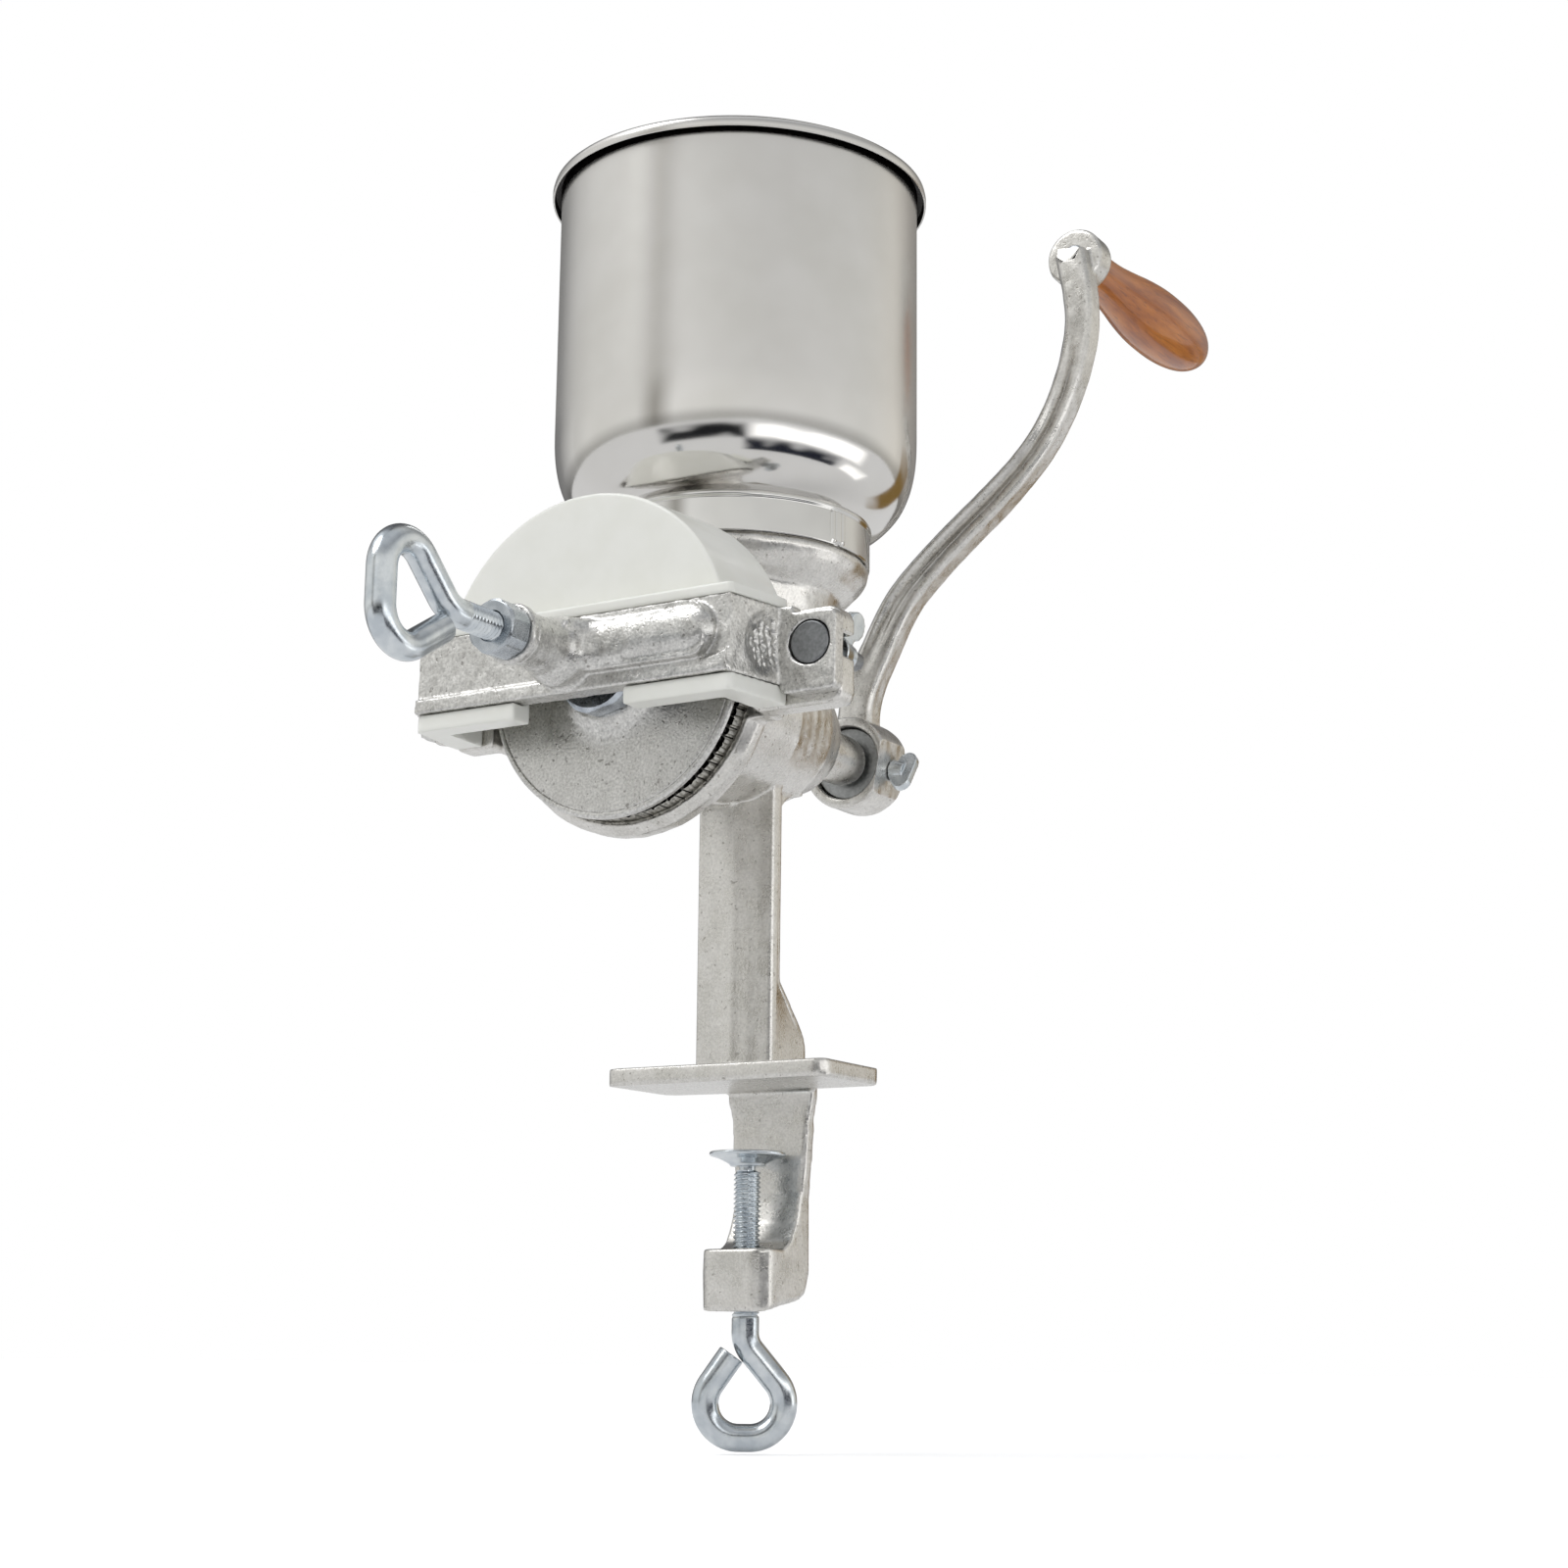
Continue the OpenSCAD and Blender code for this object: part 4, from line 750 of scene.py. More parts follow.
@dataclass
class Hopper(SubAssembly):
    """The spun bowl with its turned-down rim, and the band round its foot with the folded seam."""

    bowl_r: float = 70.0
    sheet: float = 0.8
    rim: tuple = (
        (70.0, 347.7), (70.3, 348.7), (71.4, 349.0), (72.5, 348.7), (72.8, 347.7), (72.8, 345.7), (72.9, 345.3),
        (73.2, 345.2), (73.5, 345.4), (73.6, 345.8), (73.6, 347.6), (73.3, 348.8), (72.4, 349.6), (71.2, 349.9),
        (70.2, 349.7), (69.5, 349.1), (69.2, 347.9))
    # Bounds of the painted rim shade: least and most radius, lowest and highest place.
    rim_shade_bounds: tuple = (69.75, 72.95, 344.5, 349.05)
    foot_r: float = 50.95
    foot_z: float = 199.3
    collar_r: float = 52.0
    collar_z: tuple = (196.3, 211.8)
    seam_at: float = -10.0
    seam_half: float = 4.4

    def bowl(self) -> Surface:
        """Turns the bowl: a straight foot, a rounded bottom, an upright wall and a rim turned down."""
        bottom = smooth_curve([
            (self.foot_r, 210.6), (52.6, 211.4), (56.4, 213.3), (60.6, 216.8), (64.6, 221.8), (67.4, 228.0),
            (69.0, 234.4), (69.8, 241.0), (self.bowl_r, 248.0)], 4)
        inside = bottom[::-1].copy()
        slope = np.gradient(inside, axis=0)
        slope /= np.linalg.norm(slope, axis=1, keepdims=True)
        inside = inside + np.stack([slope[:, 1], -slope[:, 0]], 1) * self.sheet
        wall = np.linspace(250, 343.8, 12)
        outline = np.vstack([
            [[self.foot_r, self.foot_z]], bottom, np.stack([np.full(12, self.bowl_r), wall], 1),
            [[self.bowl_r, 344.5], [self.bowl_r, 346.0]], self.rim,
            np.stack([np.full(12, self.bowl_r - self.sheet), wall[::-1]], 1), inside,
            [[self.foot_r - self.sheet, self.foot_z]]])

        def spinning(angle: Array, rows: Array) -> Array:
            """Adds the slow swell of a tenth of a millimetre that spinning leaves in the wall."""
            up = unit((rows[..., 1] - 215) / 60)
            return 0.09 * up * (np.sin(3 * angle + 0.6) + 0.6 * np.sin(7 * angle + 2.0))

        return turned(outline, Along.Z, (0, 0, 0), 288, True, spinning)

    def collar(self) -> Surface:
        """Turns the band, with a lip at its top and the lock seam raised at one place."""
        low, high = self.collar_z
        r, wall = self.collar_r, 1.0
        outline = np.vstack([
            [[r - wall, low], [r - 0.25, low], [r, low + 0.3]],
            np.stack([np.full(14, r), np.linspace(low + 0.5, high - 3.0, 14)], 1),
            rounded([(r, high - 2.6), (r + 0.7, high - 1.7), (r + 0.7, high - 0.5), (r - 0.1, high)], 0.5),
            [[r - wall, high]]])

        def seam(angle: Array, rows: Array) -> Array:
            """Raises the folded seam by 0.68 mm, with steep sides and a notch at its lower end."""
            off = np.abs(np.mod(np.degrees(angle) - self.seam_at + 180, 360) - 180)
            across = unit((self.seam_half - off) / 0.5)
            groove = unit(1 - np.abs(off - self.seam_half * 0.45) / 0.5)
            z = rows[..., 1]
            up = unit((z - low - 1.0) / 0.5) * unit((high - 2.4 - z) / 0.6)
            notch = unit((1.6 - off) / 0.3) * unit((low + 1.2 - z) / 0.4)
            skin = rows[..., 0] > r - 0.5
            return skin * (0.68 * across * up - 0.25 * groove * up - 0.7 * notch)

        return turned(outline, Along.Z, (0, 0, 0), 900, True, seam)

    def build(self) -> None:
        """Builds the bowl, with painted shade on the sheet in and under its rim, and the band."""
        bowl = self.place("hopper_bowl", self.bowl(), "hopper", "hopper_cup", "stainless", SHEET, 40)

        def shaded(p: Array) -> Array:
            """Picks the faces in and under the rim's fold that are painted near-black as shade."""
            r, z = np.hypot(p[:, 0], p[:, 1]), p[:, 2]
            near, far, low, high = self.rim_shade_bounds
            return (r > near) & (r < far) & (z > low) & (z < high)

        # Paints shade as a near-black finish on the rim's fold and on the wall just under it.
        self.mark(bowl, RIM_SHADE_PAINT, shaded)
        self.place("hopper_band", self.collar(), "hopper", "hopper_collar", "stainless", BAND, 40)


@dataclass
class Casting(SubAssembly):
    """The tinned casting that all else is mounted on."""

    post_half: float = 16.4
    post_front: float = 4.0
    post_ridge: float = 1.3
    fold_height: float = 0.2
    fold_pitch: float = 6.5
    end_wall: float = 26.3
    throat_r: float = 25.2

    def ridge(self, stations: Sequence[Sequence[float]], y: float, proud: float) -> Surface:
        """Makes a shallow upright ridge with two slanting faces.

        Formula: at height z and share u of the width, x = u * half(z) and y = front - proud * (1 - |u|).

        Args:
            stations: rows of height and half width.
            y: where the flat face lies.
            proud: how far the ridge's middle stands out.

        Returns:
            A closed wedge that reaches 1.5 mm behind the face.
        """
        row = smooth_curve(stations, 6)
        u = np.linspace(-1, 1, 9)
        loop_u = np.concatenate([u, u[::-1]])
        loop_y = np.concatenate([y - proud * (1 - np.abs(u)), np.full(9, y + 1.5)])
        rows = np.stack([row[:, 1:] * loop_u[None, :], loop_y[None, :] + np.zeros((len(row), 1)),
                         row[:, :1] + np.zeros((1, 18))], 2)
        return Surface.grid(capped(rows), wrap_columns=True)

    def barrel(self) -> Surface:
        """Turns barrel and nose as one smooth skin over the CAD's facets, with chamber and throat open."""
        outer = rounded([
            (53.9, -67.95), (56.4, -64.5), (56.4, -59.5), (53.9, -57.0), (44.1, -54.5), (37.0, -47.0),
            (31.65, -37.0), (31.65, 0.0), (29.3, 26.0), (24.0, 39.5), (21.2, 46.3), (18.4, 48.8),
            (12.8, 51.3), (10.25, 56.0), (10.25, 85.0), (9.2, 86.0)], 2.2)
        inner = [(7.1, 86.0), (7.1, 27.4), (26.6, 27.4), (26.6, -62.0), (51.9, -65.9), (51.9, -67.9)]
        throat = turned([
            (0, AXIS_H), (self.throat_r, AXIS_H), (self.throat_r, 185), (0, 185)], Along.Z, (0, 0, 0), 120)
        return turned(np.vstack([outer, inner]), Along.Y, steps=260, closed=True).without(throat)

    def neck(self) -> Surface:
        """Turns the neck's outside: a waisted column that flares to the rim under the hopper's band."""
        outer = smooth_curve([
            (35.0, 160.0), (37.2, 166.0), (38.3, 174.2), (40.6, 182.5), (45.8, 186.2), (49.6, 190.0),
            (51.35, 193.2), (51.4, 195.0), (50.6, 196.0)], 5)
        inner = [(44.0, 195.9), (44.0, 191.8), (29.0, 168.0), (28.0, 160.0)]
        return turned(np.vstack([outer, inner]), Along.Z, (0, 0, 0), 240, True)

    def folded(self, p: Array) -> Array:
        """Raises the folds where the metal ran cold round the barrel.

        Formula: at angle a round the barrel and place y, each point moves out by fold_height *
        (1/2 + 1/2 cos w)^3, where w makes one turn in each fold_pitch of y + a / 25 deg, inside a long
        patch
        with soft ends below the right ear.
        """
        off, far = off_shaft(p)
        a, y = np.degrees(np.arctan2(off[:, 1], off[:, 0])), p[:, 1]
        fold = (0.5 + 0.5 * np.cos(TURN * (y + 14 + a / 25) / self.fold_pitch)) ** 3
        patch = unit((a + 52 - 0.4 * y) / 24) * unit((40 - a) / 24) * unit((y + 22) / 6)
        patch *= unit((25 - y) / 6) * (far > 28) * (far < 34)
        return pushed_out(p, self.fold_height * fold * patch)

    def cleared(self, p: Array) -> Array:
        """Holds the chamber's end wall back at the place that end_wall gives."""
        far = np.hypot(p[:, 0], p[:, 2] - AXIS_H)
        wall = (far < 25.7) & (p[:, 1] > 24.0) & (p[:, 1] < self.end_wall)
        return np.stack([p[:, 0], np.where(wall, self.end_wall, p[:, 1]), p[:, 2]], 1)

    def build(self) -> None:
        """Fuses the CAD casting with the smooth skins and gives it its cast lumps."""
        parts = [
            self.cad("body_casting"), self.barrel(), self.neck(),
            self.ridge([(z, self.post_half) for z in (7.0, 12, 60, 105)], self.post_front, self.post_ridge),
        ]
        skin = Surface.join(parts).fused(voxel=0.78, smoothing=4).moved(self.folded)
        skin = skin.roughened(height=0.07, size=7.0, seed=3).roughened(height=0.13, size=17.0, seed=4)
        skin = skin.moved(self.cleared)
        self.place("main_casting", skin, "body", "body_casting", "cast_tin", SMOOTH_TIN, 60)


@dataclass
class GrindingHead(SubAssembly):
    """The two plates, the turning disc, its nut, the auger, the shaft and the thrust ball."""

    plate_r: float = 51.5
    bore_r: float = 22.0
    teeth: int = 92
    grooves: int = 36
    groove_deep: float = 1.2
    tooth_deep: float = 1.2

    def plate(self, back: float, face: float, phase: float) -> Surface:
        """Makes a grinding plate with a toothed rim and radial grooves.

        Formula: the working face sinks by groove_deep in each groove and by tooth_deep + 0.2 * thickness
        between the rim's teeth; at the face the rim's radius falls by tooth_deep between the teeth.

        Args:
            back: where the plain back lies along Y.
            face: where the working face lies.
            phase: how far its teeth are turned, as a share of their pitch.

        Returns:
            The surface.
        """
        steps = self.teeth * 12
        angle = np.linspace(0, TURN, steps, endpoint=False)[None, :]
        into = 1.0 if back > face else -1.0
        radii = np.array([self.bore_r, 25.0, 26.0, 38.0, 45.0, 48.0, 49.0, 51.0, self.plate_r])
        tooth = unit(0.9 * np.cos(self.teeth * angle + TURN * phase) + 0.35)
        centre = np.abs(np.mod(angle * self.grooves / TURN, 1) - 0.5) * TURN / self.grooves * radii[:, None]
        groove = unit((1.5 - centre) / 0.4) * unit(radii[:, None] - 25.0)
        rim = unit((radii[:, None] - 45.0) / 3.0)
        between = (self.tooth_deep + 0.2 * abs(back - face)) * rim * (1 - tooth)
        sink = np.maximum(self.groove_deep * groove, between)
        r = radii[:, None] - self.tooth_deep * (1 - tooth) * (radii[:, None] > 50.5)
        front = np.stack([r * np.cos(angle), face + into * sink, r * np.sin(angle)], 2)
        ring = np.array([self.plate_r, self.plate_r, self.bore_r])[:, None]
        depth = np.array([face + 0.75 * (back - face), back, back])[:, None]
        rear = np.stack([ring * np.cos(angle), depth + 0 * angle, ring * np.sin(angle)], 2)
        return Surface.grid(np.vstack([front, rear]) + [0, 0, AXIS_H], wrap_rows=True, wrap_columns=True)

    def dress_plate(self, name: str, surface: Surface, body: str, node: str, face: float, deep: float) -> None:
        """Places a grinding plate and gives the sunk iron between its teeth a near-black finish: oil, with
        painted shade.

        Args:
            name: the piece's name.
            surface: its shape.
            body: the CAD body that it rides on.
            node: the CAD node that it stands for.
            face: where its working face lies along Y.
            deep: how deep the gaps between its teeth are.
        """
        plate = self.place(name, surface, body, node, "burr_iron", BURR, 30)

        def oil_and_shade(p: Array) -> Array:
            """Picks what lies sunk between the teeth, for the oil and the painted shade."""
            far, sunk = np.hypot(p[:, 0], p[:, 2] - AXIS_H), np.abs(p[:, 1] - face)
            return (far > 44) & (sunk > 0.45) & (sunk < deep + 0.02)

        self.mark(plate, OIL_AND_SHADE, oil_and_shade)

    def disc(self) -> Surface:
        """Turns the cast disc with its boss and rounded rim."""
        boss = smooth_curve([(16.6, -82.8), (18.4, -82.45), (20.2, -81.2), (22.4, -79.7), (26.5, -78.9)], 4)
        rim = rounded([
            (29.0, -78.8), (49.9, -78.8), (50.2, -78.35), (50.5, -78.8), (51.7, -78.8), (52.5, -78.1),
            (52.5, -76.6)], 0.35)
        outline = np.vstack([[(8.1, -76.6), (8.1, -82.3), (8.6, -82.8)], boss, rim])
        return turned(outline, Along.Y, steps=300, closed=True).roughened(height=0.03, size=6.0, seed=8)

    def shaft(self) -> Surface:
        """Turns the shaft with its journal."""
        return turned([
            (0, -85.8), (7.0, -85.8), (8.0, -84.8), (8.0, 25.0), (7.0, 25.05), (7.0, 109.5), (6.2, 110.5),
            (0, 110.5)], Along.Y, steps=96)

    def build(self) -> None:
        """Builds and dresses the head's pieces."""
        for name, back, face, phase, body, node, deep in (
                ("fixed_burr", -66.0, -72.8, 0.0, "body", "fixed_plate", 2.56),
                ("turning_burr", -76.6, -73.8, 0.5, "crank", "turning_plate", 1.76)):
            self.dress_plate(name, self.plate(back, face, phase), body, node, face, deep)
        self.place("turning_disc", self.disc(), "crank", "disc_carrier", "cast_tin", TIN, 40)
        self.place("disc_nut", nut(32, -90.8, 8, 8.2, 12), "crank", "hub_nut", "zinc", SPOTTED_ZINC, 25)
        self.place("main_shaft", self.shaft(), "crank", "drive_shaft", "steel", STEEL, 40)
        self.keep("feed_auger", BURR)
        self.keep("thrust_ball", STEEL)


@dataclass
class YokeAndGuard(SubAssembly):
    """The yoke in front of the disc, the guard behind its bar, and the bolt and wing nut on its right."""

    bar_front: float = -105.0
    bolt_x: float = 82.5
    boss_r: float = 10.5
    boss_side: float = 9.3
    lip_back: float = -136.2
    bulge_crest: float = -112.0
    elbow_f: float = 9.0

    def boss(self) -> Surface:
        """Turns the boss with its plain foot, flowing out on to the bar."""
        outline = smooth_curve([
            (9.8, -139.0), (10.4, -138.5), (self.boss_r, -137.0), (self.boss_r, -126.0), (self.boss_r, -119.0),
            (11.2, -113.0), (12.4, -108.0), (13.3, -104.5)], 5)
        return turned(np.vstack([[(5.1, -138.6)], outline, [(5.1, -100.0)]]), Along.Y, steps=160, closed=True)

    def bulge(self, x: tuple, z: tuple, y: tuple) -> Surface:
        """Makes a long raised bulge with round ends.

        Formula: a pill of half height h lies at each depth; its half height is h * (1 - (1 - d)^2.4)^(1 /
        2.4),
        where d runs from 0 at the crest to 1 at the root, so the crest is a soft line and the sides stand
        steep.

        Args:
            x: its ends.
            z: its lower and upper side.
            y: the crest and the root.

        Returns:
            The closed surface.
        """
        half, middle = (z[1] - z[0]) / 2, (z[0] + z[1]) / 2
        d = np.concatenate([np.linspace(0, 1, 14) ** 1.7, [1.0, 1.0]])
        size = half * (1 - (1 - d) ** 2.4) ** (1 / 2.4)
        size[-1] = 0
        angle = np.linspace(0, TURN, 72, endpoint=False)
        core = np.where(np.cos(angle) > 0, x[1] - half, x[0] + half)
        depth = y[0] + (y[1] - y[0]) * d
        depth[-2:] = y[1] + 2.0
        return Surface.grid(np.stack([
            core[None, :] + size[:, None] * np.cos(angle), depth[:, None] + 0 * angle[None, :],
            middle + size[:, None] * np.sin(angle)], 2), wrap_columns=True)

    def elbow(self) -> Surface:
        """Fills the corner between the boss and the bulge, as the metal flowed there in the mould.

        Formula: at x the front lies on a hollow arc of radius f that touches the boss's side and the bulge's
        crest; above and below it falls back as (1 - |t|^3)^(1/3), where t is the share of the half height.
        """
        x = np.linspace(-4, 26, 40)[:, None]
        end = self.boss_side + self.elbow_f
        arc = np.sqrt(np.maximum(self.elbow_f ** 2 - np.clip(end - x, 0, self.elbow_f) ** 2, 0))
        front = self.bulge_crest - self.elbow_f + arc
        t = np.linspace(-1, 1, 25)[None, :]
        bow = (1 - np.abs(t) ** 3) ** (1 / 3)
        root = self.bar_front + 1.0
        y = np.hstack([root + (front - root) * bow, np.full((40, 25), self.bar_front + 3.0)])
        z = 139.4 + 9.7 * np.hstack([t, t[:, ::-1]]) + 0 * x
        rows = np.stack([x + 0 * y, y, z], 2)
        return Surface.grid(capped(rows), wrap_columns=True)

    def ledge(self) -> Surface:
        """Carries the ledge's section along the bar's lower front edge; it rises to meet the right arm.

        Formula: a rectangle with soft corners, 6 mm high and 2 mm proud, whose height is 124.5 along the
        bar and climbs by 2.5 mm over the last 12 mm.
        """
        x = np.linspace(-66, 65.5, 60)[:, None]
        section = rounded([(0, 3), (0, -2.1), (5.2, -1.9), (6.0, 3)], 0.6, True, 4)
        climb = 2.5 * unit((x - 54) / 12) ** 2
        rows = np.stack([x + 0 * section[None, :, 0], self.bar_front + section[None, :, 1] + 0 * x,
                         124.5 + section[None, :, 0] + climb], 2)
        return Surface.grid(capped(rows), wrap_columns=True)

    def yoke(self) -> Surface:
        """Fuses the CAD yoke with its boss, rib and ledge, and hollows the rough recess in its right arm."""
        bulge = self.bulge((-2, 61), (130.6, 149.6), (self.bulge_crest, -104.6))
        parts = [self.cad("yoke"), self.boss(), bulge, self.elbow(), self.ledge()]

        def slimmed(p: Array) -> Array:
            """Draws the boss in behind the lip at its end, and lets it swell again towards the bar."""
            far, y = off_shaft(p)[1], p[:, 1]
            share = unit((y - self.lip_back) / 0.7) * unit((-116 - y) / 10) * (far < 11.2) * (far > 8)
            return pushed_out(p, -share * (
                self.boss_r - self.boss_side + 0.4 * unit((self.lip_back + 1.8 - y) / 0.5)))

        def recess(p: Array) -> Array:
            """Sinks an oval of the slanting arm by about 1.3 mm, with a rough floor."""
            along = (p[:, 0] - 66) * 4.6 / 24.04 + (p[:, 1] + 99) * 23.6 / 24.04
            off = ((along - 11.5) / 9.0) ** 2 + ((p[:, 2] - 137.5) / 10.0) ** 2
            outside = (p[:, 0] - (66.5 + (p[:, 1] + 99) * 0.195) > -1.5) & (p[:, 1] < -79.5)
            depth = 1.3 * unit(1.25 - off) * outside * (1 + 0.25 * waves(p, 2.2, 5))
            return p - np.stack([depth, -0.2 * depth, 0 * depth], 1)

        skin = Surface.join(parts).fused(voxel=0.5, smoothing=3).moved(slimmed).moved(recess)
        return skin.roughened(height=0.08, size=6.0, seed=11)

    def bolt(self) -> Surface:
        """Turns the bolt: a flat head with a turned edge, and its shank through the ear."""
        return turned(np.vstack([
            [(0, -81.3), (5.0, -81.3)],
            rounded([(6.4, -81.3), (7.0, -81.4), (7.45, -80.9), (7.45, -77.4)], 0.3),
            [(3.3, -77.4), (3.3, -49.6), (2.7, -49.0), (0, -49.0)]]), Along.Y, (self.bolt_x, 0, AXIS_H), 120)

    def build(self) -> None:
        """Builds and dresses the yoke's and guard's pieces."""
        self.place("cast_yoke", self.yoke(), "body", "yoke", "cast_tin", TIN, 60)
        guard = self.cad("guard").fused(voxel=0.6, smoothing=4)
        self.place("moulded_guard", guard, "body", "guard", "white_plastic", PLASTIC, 50)
        self.place("tab_bolt", self.bolt(), "body", "yoke_bolt", "dark_steel", BOLT_STEEL, 30)
        wing = self.cad("wing_nut").fused(voxel=0.35, smoothing=5)
        self.place("bolt_wing_nut", wing, "side_nut", "wing_nut", "zinc", ZINC, 50)


def eye(d: float, inner: float, shares: Sequence[float], lean: float, close: float) -> Array:
    """Draws the middle line of a bent rod's eye.

    Formula: a bend of radius shares[0] * r away from the shank by `lean`, a straight leg, a corner of
    radius
    shares[1] * r round to the far side, a straight foot, the opposite corner on past the upright by
    `close`,
    and a straight end of shares[2] * r, where r is half the eye's width to the rod's middle.

    Args:
        d: the rod's diameter.
        inner: the eye's clear width.
        shares: the three shares of r.
        lean: the first leg's angle to the shank in degrees.
        close: the last leg's angle to the shank in degrees.

    Returns:
        Rows of sideways place and place along the shank, which falls from 0.
    """
    r = (inner + d) / 2
    bend, corner = r * shares[0], r * shares[1]
    side, a, b = r - corner, math.radians(lean), math.radians(close)
    leg = (side + corner * math.cos(a) - bend * (1 - math.cos(a))) / math.sin(a)
    drop = -(bend + corner) * math.sin(a) - leg * math.cos(a)

    def arc(centre: tuple, radius: float, start: float, end: float, count: int) -> Array:
        """Gives points of an arc between two angles."""
        turn = np.linspace(start, end, count)
        return np.stack([centre[0] + radius * np.cos(turn), centre[1] + radius * np.sin(turn)], 1)

    first = arc((bend, 0), bend, math.pi, math.pi + a, 14)
    second = arc((side, drop), corner, a, -math.pi / 2, 26)
    third = arc((-side, drop), corner, -math.pi / 2, -math.pi - b, 30)
    finish = third[-1] + np.outer(np.linspace(0.1, 1, 10), [math.sin(b), math.cos(b)]) * r * shares[2]
    straight = first[-1] + np.outer(np.linspace(0.08, 0.92, 8), second[0] - first[-1])
    foot = second[-1] + np.outer(np.linspace(0.1, 0.9, 6), third[0] - second[-1])
    return np.vstack([first, straight, second, foot, third, finish])


def eye_screw(start: float, thread_end: float, bend: float, line: Array, spot: Callable[[Array], Array],
              plane: Sequence[float], d: float = 10.0, pitch: float = 1.75) -> Surface:
    """Makes a threaded rod with its eye as one sweep.

    Args:
        start: place of the threaded tip along the shank.
        thread_end: where the thread runs out.
        bend: where the eye's first bend starts.
        line: the eye's middle line.
        spot: turns rows of sideways place and place along the shank into points.
        plane: the normal of the eye's plane.
        d: the rod's diameter.
        pitch: the thread's pitch.

    Returns:
        The surface.
    """
    count = int(abs(start - thread_end) / pitch * 10)
    shank = np.concatenate([[start, start - 0.01], np.linspace(start - 0.5, thread_end, count),
                            np.linspace(thread_end, bend, 8)[1:]])
    eye_line = line[1:] + [0, bend]
    tip = eye_line[-1] - eye_line[-2]
    tip = tip / np.linalg.norm(tip)
    ends = eye_line[-1] + np.outer([0.05, 0.35, 0.5, 0.52], tip)
    flat = np.vstack([np.stack([0 * shank, shank], 1), eye_line, ends])
    radius = np.full(len(flat), d / 2)
    radius[:3] = [0, d / 2 - 0.9, d / 2 - 0.5]
    radius[-4:] = [d / 2, d / 2 - 0.12, d / 2 - 0.5, 0]
    length = abs(start - thread_end)
    return rod(spot(flat), radius, plane, 48, (pitch, 0.8, length))


@dataclass
class Adjuster(SubAssembly):
    """The adjusting screw with its bent eye, and its lock nut."""

    def build(self) -> None:
        """Builds the screw and the nut."""
        line = eye(10, 24.6, (0.7, 0.66, 0.94), 44, 32)
        screw = eye_screw(-93.4, -165.2, -166.8, line,
                          lambda q: np.stack([0 * q[:, 0], q[:, 1], AXIS_H + q[:, 0]], 1), (1, 0, 0))
        self.place("adjusting_eye_screw", screw, "adjuster", "adjusting_screw", "zinc", ZINC, 40)
        lock = nut(18, -149.3, 10, 9.9, 20)
        self.place("adjuster_lock_nut", lock, "adjuster_nut", "lock_nut", "zinc", NUT_ZINC, 25)


@dataclass
class Clamp(SubAssembly):
    """The clamp screw with its eye, and the pressed pad on its top."""

    centre_y: float = 15.6
    turn: float = 31.0

    def pad(self) -> Surface:
        """Turns the pad: a thin bright rim over a conical underside."""
        outline = rounded([
            (3.1, -29.4), (6.2, -29.4), (6.9, -28.4), (10.3, -26.6), (14.1, -25.4), (14.2, -24.4),
            (13.7, -24.0), (3.1, -24.0)], 0.4, True)
        return turned(outline, Along.Z, (0, self.centre_y, 0), 160, True)

    def build(self) -> None:
        """Builds the screw and the pad."""
        line = eye(10, 18.6, (0.7, 0.85, 0.85), 40, 35)
        a = math.radians(self.turn)
        screw = eye_screw(-30.8, -84.7, -89.7, line, lambda q: np.stack(
            [q[:, 0] * math.cos(a), self.centre_y + q[:, 0] * math.sin(a), q[:, 1]], 1),
            (math.sin(a), -math.cos(a), 0))
        pin = turned([(0, -26.3), (2.6, -26.3), (3.0, -26.7), (3.0, -30.9), (0, -30.9)], Along.Z,
                     (0, self.centre_y, 0), 60)
        screw = Surface.join([screw, pin])
        self.place("clamp_eye_screw", screw, "table_screw", "clamp_screw", "zinc", ZINC, 40)
        self.place("pressure_pad", self.pad(), "table_pad", "clamp_pad", "zinc", ZINC, 40)


